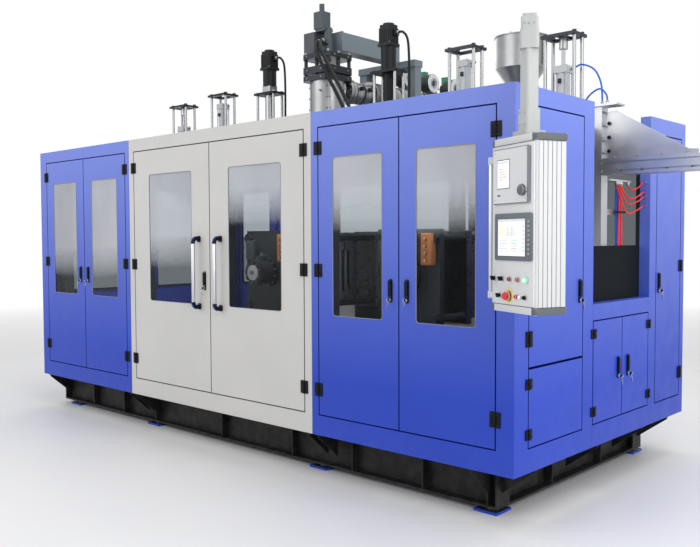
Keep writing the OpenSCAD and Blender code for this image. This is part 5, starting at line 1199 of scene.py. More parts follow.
class MACHINE_OT_pendant(bpy.types.Operator):
    """Pendant: end caps, instrument, screen, keys, switches and grip"""

    bl_idname = "machine.pendant"
    bl_label = "Pendant"

    def execute(self, context):
        self.case()
        self.instruments()
        self.switches()
        return {"FINISHED"}

    def outline(self, grow, r):
        w, d = PENDANT_W / 2 + grow, PENDANT_D / 2 + grow
        return rounded(-w, -d, w, d, r)

    def case(self):
        m = Maker(pendant())
        y = -PENDANT_D / 2
        for low, high in ((-0.0006, 0.0346), (PENDANT_H - 0.0346, PENDANT_H + 0.0001)):
            m.mat = 0
            m.plate(self.outline(0.0008, 0.015), -high, -low, 0.0040, 3, **FLAT)
            # Pale middle part of the cap
            m.mat = 3
            m.box((-PENDANT_W / 2 + 0.030, y - 0.0016, low - 0.0002),
                  (PENDANT_W / 2 - 0.030, y + 0.010, high + 0.0002), 0.0012)
        # Dark joint lines between the caps and the profile
        m.mat = 1
        for z in (0.0346, PENDANT_H - 0.0366):
            m.plate(self.outline(-0.0030, 0.013), -z - 0.0020, -z, 0.0, **FLAT)
        # Grip at the left side
        x = -PENDANT_W / 2 - 0.056
        m.mat = 2
        m.rod("Z", (x, y + 0.035, 0.0545), 0.8015, 0.0153, 32, 0.004, steps=3)
        m.mat = 3
        for z in (0.061, 0.766):
            m.box((x - 0.0004, y + 0.0196, z - 0.0004), (-PENDANT_W / 2 - 0.0006, y + 0.0504, z + 0.0304), 0.004)
            m.rod("Z", (x, y + 0.035, z - 0.004), z + 0.034, 0.0185, 32, 0.003)
        # Front plate with a fine groove round it
        m.mat = 4
        m.plate(rounded(-0.1824, 0.0396, 0.1824, 0.8394, 0.004), y - 0.0016, y + 0.002, 0.0008)
        m.done("pendant_case", "pendant", ["cap grey", "satin black", "profile alu", "pendant alu", "pendant face"])
        # Raised ribs of the profile's sides and its back
        height = PENDANT_H - 0.078
        m = Maker(pendant())
        for s in (-1, 1):
            for i in range(6):
                y = -0.0645 + i * 0.0258
                m.box((s * 0.1935 - 0.0018, y - 0.0112, 0.0372), (s * 0.1935 + 0.0018, y + 0.0112, 0.0372 + height),
                      0.0012)
        for i in range(7):
            x = -0.150 + i * 0.050
            m.box((x - 0.012, 0.0890, 0.0372), (x + 0.012, 0.0932, 0.0372 + height), 0.0012)
        m.done("pendant_ribs", "pendant", ["pendant alu"])
        # Screws of the post's collar and of the boom's head
        spots = [(dx, -0.0421, PENDANT_H + z) for dx in (-0.020, 0.020) for z in (0.062, 0.124)]
        spots = [pendant() @ Vector(p) for p in spots]
        out = pendant().to_3x3() @ Vector((0, -1, 0))
        screwed("collar_screws", spots, "pendant", "pale alu", [out] * 4, 0.011, 0.004, 20)
        spots = [boom() @ Vector((BOOM_L + 0.0429, dy, 2.722)) for dy in (-0.024, 0.0, 0.024)]
        out = boom().to_3x3() @ Vector((1, 0, 0))
        screwed("boom_screws", spots, "boom", "pale alu", [out] * 3, 0.010, 0.004, 20)

    def instruments(self):
        y = -PENDANT_D / 2
        m = Maker(pendant())
        # Instrument with its own small screen and turning knob
        self.bezel(m, -0.1606, 0.1566, 0.5464, 0.8256, y - 0.0132)
        m.mat = 6
        m.plate(rounded(-0.1570, 0.5510, 0.1400, 0.8210, 0.004), y - 0.0144, y - 0.0120, 0.0008, 1)
        m.mat = 1
        self.bezel(m, -0.1486, 0.1766, 0.2614, 0.4986, y - 0.0092, 1)
        m.mat = 2
        m.plate(rounded(-0.1210, 0.6230, -0.0060, 0.7710, 0.002), y - 0.0150, y - 0.0130, 0.0004, 1)
        m.plate(rounded(-0.1210, 0.2810, 0.1250, 0.4740, 0.002), y - 0.0098, y - 0.0080, 0.0004, 1)
        # Corner screws of the instrument, its small label and the keys beside the large screen
        for x in (-0.140, 0.136):
            for z in (0.567, 0.805):
                m.mat = 3
                m.rod("Y", (x, y - 0.0142, z), y - 0.0158, 0.0045, 20, 0.0006)
        m.mat = 2
        m.plate(rounded(-0.1180, 0.5860, -0.0900, 0.5940, 0.001), y - 0.0147, y - 0.0140, 0.0001, 1)
        m.mat = 4
        for i in range(8):
            self.key(m, 0.150, 0.298 + i * 0.0225, 0.015, 0.012, y - 0.0092)
        m.mat = 3
        m.rod("Y", (0.111, y - 0.0128, 0.610), y - 0.0188, 0.0310, 48, 0.001)
        m.mat = 5
        # Turning knob
        profile = [(0.0266, 0), (0.0266, 0.012), (0.0250, 0.0166), (0.0200, 0.0182), (0.0010, 0.0182)]
        m.turned((0.111, y - 0.018, 0.610), (0, -1, 0), profile)
        for k in range(24):
            a = math.radians(15 * k)
            spot = Vector((0.111 + 0.0264 * math.cos(a), y - 0.019, 0.610 + 0.0264 * math.sin(a)))
            m.cylinder(spot, spot - Vector((0, 0.011, 0)), 0.0016, sides=8)
        m.mat = 3
        m.box((0.1100, y - 0.0372, 0.6160), (0.1120, y - 0.0358, 0.6340))
        m.done("pendant_instruments", "pendant",
               ["bezel grey", "bezel dark", "screen", "lock chrome", "plastic grey", "cap grey", "pendant face"])
        self.pictures(y)

    def bezel(self, m, x0, x1, z0, z1, y, kind=0):
        m.mat = kind
        m.plate(rounded(x0, z0, x1, z1, 0.006), y, -PENDANT_D / 2 + 0.004, 0.0022, 2)

    def key(self, m, x, z, w, h, y):
        m.plate(rounded(x - w / 2, z - h / 2, x + w / 2, z + h / 2, 0.003), y - 0.0016, y + 0.0004, 0.0006, 1)

    def pictures(self, y):
        """The two lit screens, pale, with generic blocks, bars and lines."""
        m = Maker(pendant())
        x0, x1, z0, z1 = -0.117, 0.121, 0.285, 0.470
        face = y - 0.0104
        m.box((x0, face, z0), (x1, face + 0.0004, z1))
        m.box((-0.117, y - 0.0156, 0.627), (-0.010, y - 0.0152, 0.767))

        def patch(kind, a, b, c, d):
            m.mat = kind
            m.box((a, face - 0.0003, c), (b, face, d))

        patch(1, x0, x1, z1 - 0.012, z1)
        patch(2, x0 + 0.008, x0 + 0.060, z0 + 0.100, z0 + 0.158)
        for i in range(7):
            patch(3 if i % 3 == 1 else 4, x0 + 0.074 + i * 0.012, x0 + 0.081 + i * 0.012, z0 + 0.100,
                  z0 + 0.112 + 0.007 * ((i * 5) % 7))
        for i in range(5):
            patch(1, x0 + 0.008, x0 + 0.090 - 0.010 * (i % 3), z0 + 0.022 + i * 0.013, z0 + 0.026 + i * 0.013)
            patch(3 if i % 2 else 4, x0 + 0.120, x0 + 0.176 - 0.014 * (i % 2), z0 + 0.022 + i * 0.013,
                  z0 + 0.028 + i * 0.013)
        for i in range(7):
            patch(1, x1 - 0.022, x1 - 0.006, z0 + 0.020 + i * 0.020, z0 + 0.030 + i * 0.020)
        face = y - 0.0156
        for i in range(5):
            patch(3, -0.104, -0.060 + 0.009 * ((i * 3) % 4), 0.668 + i * 0.013, 0.673 + i * 0.013)
        patch(1, -0.112, -0.016, 0.752, 0.760)
        patch(2, -0.040, -0.018, 0.636, 0.650)
        pale = (("screen lit", (0.88, 0.90, 0.92)), ("screen grey", (0.62, 0.66, 0.70)),
                ("screen cream", (0.86, 0.84, 0.66)),
                ("screen rose", (0.84, 0.50, 0.50)), ("screen mint", (0.56, 0.78, 0.66)))
        for name, colour in pale:
            glowing(name, shade(colour, 0.72), 0.62)
        m.done("pendant_pictures", "pendant", [name for name, colour in pale])

    def switches(self):
        y = -PENDANT_D / 2
        m = Maker(pendant())
        kinds = ["lock chrome", "satin black", "button dark red", "button red", "button green", "label yellow",
                 "lamp green", "lamp core"]
        for i, (kind, r) in enumerate(((1, 0.0120), (1, 0.0120), (2, 0.0120), (3, 0.0120), (6, 0.0150))):
            x = -0.156 + i * 0.070
            self.bezel_ring(m, x, TOP_ROW, r + 0.0034, y)
            if kind == 1:
                self.selector(m, x, TOP_ROW, r, y)
            else:
                self.cap(m, x, TOP_ROW, r - 0.0011, kind, y)
        # Lit middle of the lamp
        m.mat = 7
        m.rod("Y", (0.124, y - 0.0150, TOP_ROW), y - 0.0192, 0.0088, 32, 0.0006)
        # Green half of the double button
        m.mat = 4
        m.plate(rounded(0.0545, TOP_ROW - 0.009, 0.0630, TOP_ROW + 0.009, 0.003), y - 0.0190, y - 0.0160, 0.0008, 1)
        for x, kind in ((-0.105, 1), (0.044, 3), (0.118, 0)):
            self.bezel_ring(m, x, LOW_ROW, 0.0144, y)
            if kind == 1:
                self.selector(m, x, LOW_ROW, 0.0110, y)
            elif kind == 0:
                m.mat = 1
                m.rod("Y", (x, y + 0.004, LOW_ROW), y - 0.0184, 0.0100, 32, 0.001)
                m.mat = 0
                m.box((x - 0.0012, y - 0.040, LOW_ROW - 0.008), (x + 0.0012, y - 0.018, LOW_ROW + 0.008), 0.0005)
                m.rod("X", (x - 0.0022, y - 0.038, LOW_ROW), x + 0.0022, 0.0110, 24, 0.001)
            else:
                self.cap(m, x, LOW_ROW, 0.0099, kind, y)
        # Yellow plate behind the emergency stop
        m.mat = 5
        m.ring((STOP_X, y - 0.0016, LOW_ROW), (0, -1, 0), 0.0264, 0.0360, 0.0014, 48, 0.0003)
        m.mat = 1
        m.ring((STOP_X, y - 0.0011, LOW_ROW), (0, -1, 0), 0.0118, 0.0263, 0.0096, 48, 0.0010)
        m.done("pendant_switches", "pendant", kinds)
        # Head of the stop, turned from its profile
        m = Maker(pendant())
        profile = [(0.0110, 0.0112), (0.0110, 0.0204), (0.0152, 0.0208), (0.0208, 0.0246), (0.0216, 0.0282),
                   (0.0210, 0.0312),
                   (0.0178, 0.0356), (0.0100, 0.0374), (0.0010, 0.0378)]
        m.turned((STOP_X, y + 0.005, LOW_ROW), (0, -1, 0), profile, 48)
        made = m.done("stop_head_detail", "stop_head", ["stop red"])
        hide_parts("stop_button")

    def bezel_ring(self, m, x, z, r, y):
        m.mat = 0
        m.ring((x, y + 0.004, z), (0, -1, 0), r - 0.0034, r, 0.0114, 40, 0.0012)

    def cap(self, m, x, z, r, kind, y):
        m.mat = kind
        m.turned((x, y + 0.004, z), (0, -1, 0),
                 [(r, 0), (r, 0.0186), (r - 0.0012, 0.0212), (r - 0.0050, 0.0222), (0.0006, 0.0224)], 36)

    def selector(self, m, x, z, r, y):
        m.mat = 1
        m.rod("Y", (x, y + 0.004, z), y - 0.0178, r - 0.0008, 36, 0.001)
        turn = Matrix.Translation((x, 0, z)) @ Matrix.Rotation(math.radians(-28), 4,
                                                               "Y") @ Matrix.Translation((-x, 0, -z))
        m.box((x - 0.0036, y - 0.0300, z - r + 0.0002), (x + 0.0036, y - 0.0170, z + r - 0.0002), 0.0014, turn=turn)


class MACHINE_OT_covers(bpy.types.Operator):
    """Quarter-turn locks of the covers at the back and at the left end, and the rubber in the back covers' joints"""

    bl_idname = "machine.covers"
    bl_label = "Cover locks"

    def execute(self, context):
        rubber = Maker()
        spots = []
        for x0, x1 in ((-HX, -BAY_X - 0.0015), (-BAY_X + 0.0015, BAY_X - 0.0015), (BAY_X + 0.0015, HX - 0.078)):
            width = (x1 - x0 - 0.2) / 2 - 0.008
            joint = x1 - 0.108 - width
            rubber.box((joint - 0.0037, HY - 0.034, Z0 + 0.146), (joint + 0.0037, HY - 0.010, Z0 + 2.089))
            for i in (0, 1):
                start = x1 - 0.104 - i * (width + 0.008)
                spots += [(start - dx, HY, Z0 + z) for dx in (0.032, width - 0.032) for z in LOCK_HEIGHTS]
        rubber.done("rear_cover_joints", "machine", ["rubber"])
        screwed("rear_locks", spots, "machine", "satin black", [(0, 1, 0)] * len(spots), 0.024, 0.006, 24)
        width = HY - 0.188
        spots = [(-HX, HY - start - dx, Z0 + z) for start in (0.154, HY + 0.034) for dx in (0.032, width - 0.032)
                 for z in LOCK_HEIGHTS]
        screwed("end_locks", spots, "machine", "satin black", [(-1, 0, 0)] * len(spots), 0.024, 0.006, 24)
        return {"FINISHED"}


class MACHINE_OT_hose_ends(bpy.types.Operator):
    """Ferrules and nuts at both ends of every hose"""

    bl_idname = "machine.hose_ends"
    bl_label = "Hose ends"

    def execute(self, context):
        m = Maker()
        for _, line, thick, *_ in hose_list():
            for a, b in ((line[0], line[1]), (line[-1], line[-2])):
                way = (b - a).normalized()
                m.mat = 0
                m.cylinder(a + way * 0.0002, a + way * min(0.016, thick * 0.9), thick / 2 + 0.0026, sides=24,
                           edge=0.0006)
                m.mat = 1
                m.cylinder(a + way * 0.0001, a + way * min(0.009, thick * 0.5), thick / 2 + 0.0052, sides=6,
                           edge=0.0006)
        m.done("hose_ferrules", "machine", ["chrome", "screw steel"])
        return {"FINISHED"}


class MACHINE_OT_head(bpy.types.Operator):
    """Screws of the die head and of its flange plates, and the seams' clamps"""

    bl_idname = "machine.head"
    bl_label = "Die head"

    def execute(self, context):
        size = look("sizes").flange_screw
        off = 0.1335
        grid = [(x, y) for x in (-off, 0, off) for y in (-off, 0, off) if x or y]
        spots = [(HEAD_X + x, AXIS_Y + y, 3.262) for x, y in grid]
        screwed("flange_screws", spots, "machine", "screw steel", [(0, 0, 1)] * len(spots), size, 0.020, 24)
        ring = [math.radians(15 + 30 * k) for k in range(12)]
        spots = [(HEAD_X + 0.190 * math.cos(a), AXIS_Y + 0.190 * math.sin(a), 2.430) for a in ring]
        screwed("deck_flange_screws", spots, "machine", "screw steel", [(0, 0, 1)] * len(spots), 0.024, 0.016, 24)
        # Side screws of the plates, on their front and right faces
        spots, aims = [], []
        for z in (3.052, 3.120, 3.241):
            for t in (-0.085, 0.085):
                for face in ((0, -1), (1, 0), (0, 1), (-1, 0)):
                    spots.append((HEAD_X + face[0] * 0.1675 + t * face[1], AXIS_Y + face[1] * 0.1675 + t * face[0],
                                  z))
                    aims.append((*face, 0))
        screwed("plate_side_screws", spots, "machine", "screw steel", aims, 0.016, 0.004, 20)
        m = Maker()
        for k in range(4):
            a = math.radians(-43 + 90 * k)
            out = Vector((math.cos(a), math.sin(a), 0))
            side = Vector((-out.y, out.x, 0))
            for i in range(6):
                z = 2.500 + i * 0.096
                c = Vector((HEAD_X, AXIS_Y, z)) + out * 0.158
                for s in (-1, 1):
                    m.mat = 0
                    m.cylinder(c + side * 0.005 * s, c + side * 0.017 * s, 0.0055, sides=18, edge=0.0006)
                m.mat = 1
                m.cylinder(c + side * -0.021, c + side * -0.017, 0.0080, sides=6, edge=0.0006)
        # Thermocouples with their hexagons
        for z, a in ((2.560, -20), (2.760, -20), (2.940, -20), (2.560, -70), (2.940, -70)):
            a = math.radians(a)
            out = Vector((math.cos(a), math.sin(a), 0))
            c = Vector((HEAD_X, AXIS_Y, z)) + out * 0.149
            m.mat = 1
            m.cylinder(c, c + out * 0.012, 0.011, sides=6, edge=0.0008)
            m.mat = 0
            m.cylinder(c, c + out * 0.040, 0.0042, sides=16, edge=0.0006)
        m.done("head_clamps", "machine", ["polished steel", "screw steel"])
        return {"FINISHED"}


class MACHINE_OT_servo_units(bpy.types.Operator):
    """Cooling ribs, caps and connectors of the servo motors"""

    bl_idname = "machine.servo_units"
    bl_label = "Servo units"

    def execute(self, context):
        pitch = look("sizes").rib_pitch
        count = int(0.098 / pitch) + 1
        ribs = rib_tree()
        m = Maker()
        for name, x, z in (("left", -0.745, 3.262), ("right", 0.725, 3.250)):
            half = (count - 1) * pitch / 2
            side = [(x + s * 0.062, AXIS_Y - half, z + 0.0625) for s in (-1, 1)]
            face = [(x - half, AXIS_Y + s * 0.062, z + 0.0625) for s in (-1, 1)]
            grown(name + "_motor_ribs_a", ribs, side, "machine", "servo black", aims=[(0, 0, 1)] * 2,
                  Count=count, Step=(0.0, pitch, 0.0), Size=(0.010, pitch * 0.42, 0.104))
            grown(name + "_motor_ribs_b", ribs, face, "machine", "servo black", aims=[(0, 0, 1)] * 2,
                  Count=count, Step=(pitch, 0.0, 0.0), Size=(pitch * 0.42, 0.010, 0.104))
            m.mat = 0
            m.plate(rounded(x - 0.0565, AXIS_Y - 0.0565, x + 0.0565, AXIS_Y + 0.0565, 0.014), -z - 0.1530,
                    -z - 0.1495, 0.001,
                    across=(1, 0, 0), up=(0, 1, 0))
            # Connector sockets at the right side
            m.mat = 1
            m.rod("X", (x + 0.090, AXIS_Y, z + 0.082), x + 0.0962, 0.0175, 32, 0.001)
            m.mat = 2
            for dx in (-0.054, 0.054):
                for dy in (-0.054, 0.054):
                    m.rod("Z", (x + dx, AXIS_Y + dy, z - 0.0005), z + 0.009, 0.0062, 20, 0.0008)
        m.done("motor_trim", "machine", ["plastic black", "chrome", "screw steel"])
        return {"FINISHED"}


class MACHINE_OT_blowers(bpy.types.Operator):
    """Silver inlet covers with wire guards, and green terminal boxes of the blowers"""

    bl_idname = "machine.blowers"
    bl_label = "Blowers"

    def execute(self, context):
        rings = look("sizes").guard_rings
        spots = []
        m = Maker()
        for y in (1.1695, 1.5545, 1.9395):
            z = 3.105 + 0.108
            m.mat = 0
            m.ring((HEAD_X + 0.0498, y, z), (1, 0, 0), 0.050, 0.0925, 0.0060, 64, 0.0012)
            m.ring((HEAD_X + 0.0498, y, z), (1, 0, 0), 0.0300, 0.0508, 0.0022, 64)
            for k in range(6):
                a = math.radians(60 * k + 20)
                m.mat = 3
                spot = Vector((HEAD_X + 0.0556, y + 0.084 * math.cos(a), z + 0.084 * math.sin(a)))
                m.cylinder(spot, spot + Vector((0.0024, 0, 0)), 0.0042, sides=16, edge=0.0005)
            spots.append((HEAD_X + 0.0575, y, z))
            # Impeller behind the guard
            m.mat = 2
            m.rod("X", (HEAD_X + 0.009, y, z), HEAD_X + 0.030, 0.013, 24, 0.003)
            for k in range(10):
                a = math.radians(36 * k)
                turn = Matrix.Translation((HEAD_X + 0.020, y, z)) @ Matrix.Rotation(a, 4, "X")
                turn = turn @ Matrix.Rotation(0.5, 4, "Z")
                m.box((-0.010, -0.0008, 0.012), (0.010, 0.0008, 0.029), 0.0003, 1, turn=turn)
            m.mat = 1
            m.box((HEAD_X - 0.1126, y - 0.0326, 3.2644), (HEAD_X - 0.0414, y + 0.0326, 3.3316), 0.003)
            m.box((HEAD_X - 0.1146, y - 0.0346, 3.3250), (HEAD_X - 0.0394, y + 0.0346, 3.3410), 0.003)
            m.mat = 3
            m.rod("X", (HEAD_X - 0.0420, y, 3.2900), HEAD_X - 0.0290, 0.0105, 6, 0.0008)
            # Ribs of the motor
            m.mat = 2
            for k in range(18):
                a = math.radians(20 * k)
                if 50 < (math.degrees(a) % 360) < 130:
                    continue
                out = Vector((0, math.cos(a), math.sin(a)))
                c = Vector((HEAD_X, y, z)) + out * 0.0575
                turn = Matrix.Translation(c) @ Matrix.Rotation(a, 4, "X")
                m.box((-0.116, -0.0026, -0.0014), (-0.060, 0.0045, 0.0014), turn=turn)
        m.done("blower_covers", "machine", ["blower silver", "terminal green", "blower black", "screw steel"])
        grown("blower_guards", guard_tree(), spots, "machine", "screw steel", aims=[(1, 0, 0)] * 3,
              Radius=0.050, Rings=rings, Wire=0.0011, Spokes=4)
        spots = [(HEAD_X, 4.5262, 2.920)]
        grown("drive_guard", guard_tree(), spots, "machine", "screw steel", aims=[(0, 1, 0)],
              Radius=0.185, Rings=rings * 2, Wire=0.0016, Spokes=6)
        return {"FINISHED"}


class MACHINE_OT_extruder(bpy.types.Operator):
    """Straps, plugs and screws of the heater covers, and the hopper's fittings"""

    bl_idname = "machine.extruder"
    bl_label = "Extruder"

    def execute(self, context):
        m = Maker()
        zones = [0.607 + i * 0.385 for i in range(6)]
        for y0 in zones:
            for y in (y0 + 0.030, y0 + 0.315):
                m.mat = 0
                m.ring((HEAD_X, y, BARREL_Z), (0, 1, 0), 0.1248, 0.1268, 0.018, 64, 0.0005)
                m.mat = 1
                m.box((HEAD_X + 0.1235, y + 0.0005, 2.944), (HEAD_X + 0.1400, y + 0.0175, 2.950), 0.001)
                m.box((HEAD_X + 0.1235, y + 0.0005, 2.962), (HEAD_X + 0.1400, y + 0.0175, 2.968), 0.001)
                m.rod("Z", (HEAD_X + 0.1330, y + 0.009, 2.934), 2.976, 0.0032, 14)
            # Plug of the heater, on the right side
            m.mat = 2
            m.box((HEAD_X + 0.1195, y0 + 0.150, 2.985), (HEAD_X + 0.1560, y0 + 0.200, 3.020), 0.004)
            m.mat = 1
            m.rod("X", (HEAD_X + 0.1555, y0 + 0.175, 3.003), HEAD_X + 0.1640, 0.0100, 6, 0.0008)
        for y in (0.3775, 0.4875):
            m.mat = 0
            m.ring((HEAD_X, y + 0.030, BARREL_Z), (0, 1, 0), 0.0998, 0.1016, 0.022, 64, 0.0005)
            m.mat = 2
            m.box((HEAD_X + 0.0950, y + 0.020, 2.992), (HEAD_X + 0.1300, y + 0.060, 3.024), 0.004)
        m.done("barrel_straps", "machine", ["chrome", "screw steel", "plastic black"])
        ring = [math.radians(30 * k) for k in range(12)]
        spots = [(HEAD_X + 0.098 * math.cos(a), 0.277, BARREL_Z + 0.098 * math.sin(a)) for a in ring]
        screwed("adapter_screws", spots, "machine", "screw steel", [(0, -1, 0)] * 12, 0.020, 0.014, 20)
        # Hopper: clamps of its rim, sight strip and slide
        m = Maker()
        c = Vector((HEAD_X, 3.290, 0))
        for k in range(8):
            a = math.radians(45 * k + 10)
            out = Vector((math.cos(a), math.sin(a), 0))
            spot = c + out * 0.298 + Vector((0, 0, 3.9795))
            m.cylinder(spot, spot + Vector((0, 0, 0.008)), 0.010, sides=6, edge=0.0008)
        m.mat = 1
        m.box((HEAD_X + 0.2925, 3.268, 3.640), (HEAD_X + 0.2965, 3.312, 3.930), 0.001)
        m.mat = 0
        m.box((HEAD_X + 0.2920, 3.256, 3.626), (HEAD_X + 0.2950, 3.324, 3.944), 0.001)
        m.mat = 2
        m.box((HEAD_X - 0.170, 3.190, 3.142), (HEAD_X + 0.260, 3.390, 3.1520), 0.002)
        m.rod("X", (HEAD_X + 0.250, 3.290, 3.147), HEAD_X + 0.330, 0.012, 24, 0.004)
        m.done("hopper_fittings", "machine", ["screw steel", "screen", "brushed steel"])
        return {"FINISHED"}


class MACHINE_OT_base(bpy.types.Operator):
    """Rims and nuts of the levelling feet, and the bolts of the base frame"""

    bl_idname = "machine.base"
    bl_label = "Base"

    def execute(self, context):
        m = Maker()
        for x in (-2.455, -1.095, 0.985, 2.410):
            for y in (-0.945, 0.945):
                outer = [(x + a, y + b) for a, b in rounded(-0.0835, -0.0835, 0.0835, 0.0835, 0.004)]
                inner = [(x + a, y + b) for a, b in rounded(-0.0770, -0.0770, 0.0770, 0.0770, 0.002)]
                m.mat = 0
                m.frame(outer, inner, -0.0150, -0.0006, **FLAT)
                m.mat = 1
                m.rod("Z", (x, y, 0.0121), 0.0250, 0.0460, 6, 0.002)
                m.rod("Z", (x, y, 0.0250), 0.0290, 0.0400, 36, 0.001)
        m.done("feet_rims", "machine", ["blue cap", "screw steel"])
        spots = []
        for x in (-2.615, -1.170, -1.080, 1.080, 1.170, 2.428):
            for dx in (-0.020, 0.020):
                for s in (-1, 1):
                    spots.append((x + dx, s * 1.0152, 0.262))
        aims = [(0, math.copysign(1, p[1]), 0) for p in spots]
        screwed("bracket_screws", spots, "machine", "screw steel", aims, 0.018, 0.010, 6)
        return {"FINISHED"}


class MACHINE_OT_takeout(bpy.types.Operator):
    """End cap and slot nuts of the take-out beam, screws of its bracket, and the clamps of its hose bundle"""

    bl_idname = "machine.takeout"
    bl_label = "Take-out"

    def execute(self, context):
        m = Maker()
        x1 = HX - 0.105 + 0.830
        m.box((x1, AXIS_Y - 0.0530, 2.0695), (x1 + 0.0045, AXIS_Y + 0.0530, 2.1755), 0.0015)
        m.mat = 1
        for x in (2.760, 2.900, 3.060, 3.220, 3.400):
            for y in (AXIS_Y - 0.0527, AXIS_Y + 0.0527):
                out = math.copysign(1, y - AXIS_Y)
                m.rod("Y", (x, y, 2.0955), y + out * 0.006, 0.0075, 6, 0.0008)
        for x in (2.700, 2.860, 3.020, 3.180):
            for dy in (-0.027, 0.027):
                m.rod("Z", (x, AXIS_Y + dy, 2.1829), 2.1900, 0.0085, 20, 0.001)
        # Clamps round the bundle of hoses, at the bracket and half way down
        m.mat = 0
        for z, depth in ((1.832, 0.014), (1.560, 0.012)):
            m.box((2.5700, 0.3280, z - depth / 2), (2.6190, 0.3345, z + depth / 2), 0.001)
            m.box((2.5700, 0.4100, z - depth / 2), (2.6190, 0.4165, z + depth / 2), 0.001)
            m.box((2.6150, 0.3280, z - depth / 2), (2.6190, 0.4165, z + depth / 2), 0.001)
            m.box((2.5700, 0.3280, z - depth / 2), (2.5735, 0.4165, z + depth / 2), 0.001)
        m.done("takeout_trim", "machine", ["plastic black", "screw steel"])
        spots = [(2.655, AXIS_Y - 0.0062, z) for z in (2.232, 2.323, 2.415)]
        screwed("gusset_screws", spots, "machine", "black oxide", [(0, -1, 0)] * 3, 0.026, 0.010, 6)
        spots = [(2.6201, AXIS_Y + dy, z) for dy in (-0.028, 0.028) for z in (2.22, 2.30, 2.40, 2.49)]
        screwed("post_screws", spots, "machine", "screw steel", [(1, 0, 0)] * len(spots), 0.015, 0.009, 20)
        return {"FINISHED"}


class MACHINE_OT_clamps(bpy.types.Operator):
    """Bolt circles, fittings and small blocks of the carriages and the moulds"""

    bl_idname = "machine.clamps"
    bl_label = "Clamps and moulds"

    def execute(self, context):
        for side, x in (("left", HEAD_X), ("right", HEAD_X + 1.470)):
            body = side + "_shuttle"
            spots, aims = [], []
            for s in (-1, 1):
                y = AXIS_Y + s * 0.8755
                for k in range(10):
                    a = math.radians(36 * k + 18)
                    spots.append((x + 0.082 * math.cos(a), y, CLAMP_Z + 0.082 * math.sin(a)))
                    aims.append((0, s, 0))
                y = AXIS_Y + s * 0.7305
                for k in range(12):
                    a = math.radians(30 * k + 15)
                    spots.append((x + 0.1095 * math.cos(a), y, CLAMP_Z + 0.1095 * math.sin(a)))
                    aims.append((0, s, 0))
            screwed(body + "_screws", spots, body, "screw steel", aims, 0.015, 0.010, 16)
            m = Maker()
            for s in (-1, 1):
                # End cover, port block and fitting of the clamp cylinder
                y = AXIS_Y + s * 0.875
                m.mat = 0
                m.rod("Y", (x, y, CLAMP_Z), y + s * 0.010, 0.062, 48, 0.002)
                m.mat = 1
                m.rod("Y", (x, y + s * 0.009, CLAMP_Z), y + s * 0.026, 0.018, 6, 0.001)
                m.mat = 2
                y0, y1 = sorted((AXIS_Y + s * 0.745, AXIS_Y + s * 0.815))
                m.box((x - 0.034, y0, 1.4780), (x + 0.034, y1, 1.5160), 0.003)
                m.mat = 3
                m.rod("Z", (x, AXIS_Y + s * 0.780, 1.5155), 1.5400, 0.0120, 6, 0.001)
            # Valve block on the front crosshead and a scale beside it
            y = AXIS_Y - 0.7003
            m.mat = 4
            m.box((x + 0.160, y - 0.060, 1.470), (x + 0.250, y, 1.690), 0.006, 3)
            m.mat = 3
            for dz in (0.03, 0.08, 0.13, 0.18):
                m.rod("Y", (x + 0.205, y - 0.0595, 1.470 + dz), y - 0.0800, 0.0110, 6, 0.001)
            m.mat = 2
            m.box((x - 0.250, y - 0.040, 1.480), (x - 0.150, y, 1.640), 0.006, 3)
            m.done(body + "_fittings", body,
                   ["cylinder alu", "screw steel", "control dark", "brass", "heater orange"])
            for part, s in (("front", -1), ("rear", 1)):
                half = "%s_%s_half" % (side, part)
                m = Maker()
                face = AXIS_Y + s * 0.1505
                back = AXIS_Y + s * (0.1505 + 0.170)
                # Water nipples at both sides, lifting eye and guide bushes
                for i in (-1, 1):
                    for z in (1.170, 1.250, 1.510, 1.590):
                        y = AXIS_Y + s * (0.1505 + 0.110)
                        m.mat = 0
                        m.rod("X", (x + i * 0.2098, y, z), x + i * 0.2200, 0.0110, 6, 0.0008)
                        m.rod("X", (x + i * 0.2195, y, z), x + i * 0.2440, 0.0065, 18, 0.0008)
                    m.mat = 1
                    for z in (1.130, 1.630):
                        m.rod("Y", (x + i * 0.180, face + s * 0.0005, z), face - s * 0.0003, 0.0160, 32)
                m.mat = 1
                loop = [(x + 0.022 * math.cos(a), (face + back) / 2, 1.6830 + 0.022 * math.sin(a))
                        for a in [2 * math.pi * k / 24 for k in range(25)]]
                m.tube(loop, 0.006, 10)
                m.rod("Z", (x, (face + back) / 2, 1.6598), 1.6640, 0.016, 24, 0.001)
                m.done(half + "_fittings", half, ["brass", "screw steel"])
        return {"FINISHED"}


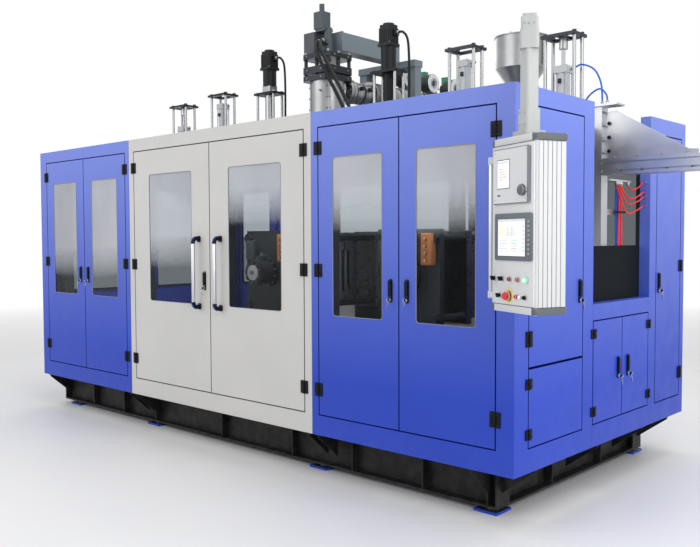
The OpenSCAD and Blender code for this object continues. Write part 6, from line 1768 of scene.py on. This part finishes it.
class MACHINE_OT_lift_units(bpy.types.Operator):
    """Fittings of the air cylinders and the pins"""

    bl_idname = "machine.lift_units"
    bl_label = "Pin and punch units"

    def execute(self, context):
        m = Maker()
        for x, length, width in ((-1.450, 0.610, 0.096), (1.490, 0.610, 0.096), (-2.110, 0.450, 0.104),
                                 (2.310, 0.450, 0.104)):
            for z in (DECK_Z + 0.024, DECK_Z + length - 0.032):
                if x > 2:
                    continue
                m.mat = 0
                m.rod("X", (x + width / 2 + 0.0125, AXIS_Y, z), x + width / 2 + 0.0300, 0.0095, 6, 0.0008)
                m.mat = 1
                m.rod("X", (x + width / 2 + 0.0290, AXIS_Y, z), x + width / 2 + 0.0440, 0.0070, 20, 0.001)
            # Position switches in the barrel's side
            m.mat = 2
            for z in (DECK_Z + 0.110, DECK_Z + length - 0.130):
                m.box((x - 0.012, AXIS_Y - width / 2 - 0.010, z), (x + 0.012, AXIS_Y - width / 2 + 0.006, z + 0.032),
                      0.003)
        m.done("cylinder_fittings", "machine", ["brass", "plastic black", "plastic black"])
        for name, x, drop in (("left_pin_lift", -1.450, 2.140), ("right_pin_lift", 1.490, 2.140),
                              ("left_punch_lift", -2.110, 2.140), ("right_punch_lift", 2.310, 2.140)):
            m = Maker()
            for i in (-1, 1):
                m.mat = 0
                m.rod("Z", (x + i * 0.070, AXIS_Y, drop - 0.0605), drop - 0.0655, 0.0300, 6, 0.001)
                m.mat = 1
                m.rod("X", (x + i * 0.1020, AXIS_Y, drop - 0.0350), x + i * 0.1160, 0.0085, 6, 0.0008)
            m.done(name + "_fittings", name, ["screw steel", "brass"])
        return {"FINISHED"}


class MACHINE_PT_pieces(bpy.types.Panel):
    """Buttons for the groups of pieces and the settings that they use"""

    bl_label = "Blow moulding machine"
    bl_idname = "MACHINE_PT_pieces"
    bl_space_type = "VIEW_3D"
    bl_region_type = "UI"
    bl_category = "Machine"

    def draw(self, context):
        for group in GROUPS:
            settings = look(group)
            for name in type(settings).__annotations__:
                self.layout.prop(settings, name)
        for kind in OPERATORS:
            self.layout.operator(kind.bl_idname)


GROUPS = {"cabinet": CabinetLook, "machine": MachineLook, "sizes": PieceSizes, "stage": StageLook}
OPERATORS = (
    MACHINE_OT_camera,
    MACHINE_OT_hoses,
    MACHINE_OT_finishes,
    MACHINE_OT_swing_handles,
    MACHINE_OT_hinges,
    MACHINE_OT_windows,
    MACHINE_OT_pull_handles,
    MACHINE_OT_pendant,
    MACHINE_OT_covers,
    MACHINE_OT_hose_ends,
    MACHINE_OT_head,
    MACHINE_OT_servo_units,
    MACHINE_OT_blowers,
    MACHINE_OT_extruder,
    MACHINE_OT_base,
    MACHINE_OT_takeout,
    MACHINE_OT_clamps,
    MACHINE_OT_lift_units,
    MACHINE_OT_stage,
)


def register():
    for kind in (*GROUPS.values(), *OPERATORS, MACHINE_PT_pieces):
        bpy.utils.register_class(kind)
    for name, kind in GROUPS.items():
        setattr(bpy.types.Scene, "machine_" + name, PointerProperty(type=kind))


def unregister():
    for name in GROUPS:
        delattr(bpy.types.Scene, "machine_" + name)
    for kind in reversed((*GROUPS.values(), *OPERATORS, MACHINE_PT_pieces)):
        bpy.utils.unregister_class(kind)


def main():
    register()
    for kind in OPERATORS:
        group, name = kind.bl_idname.split(".")
        getattr(getattr(bpy.ops, group), name)()


if __name__ == "__main__":
    main()
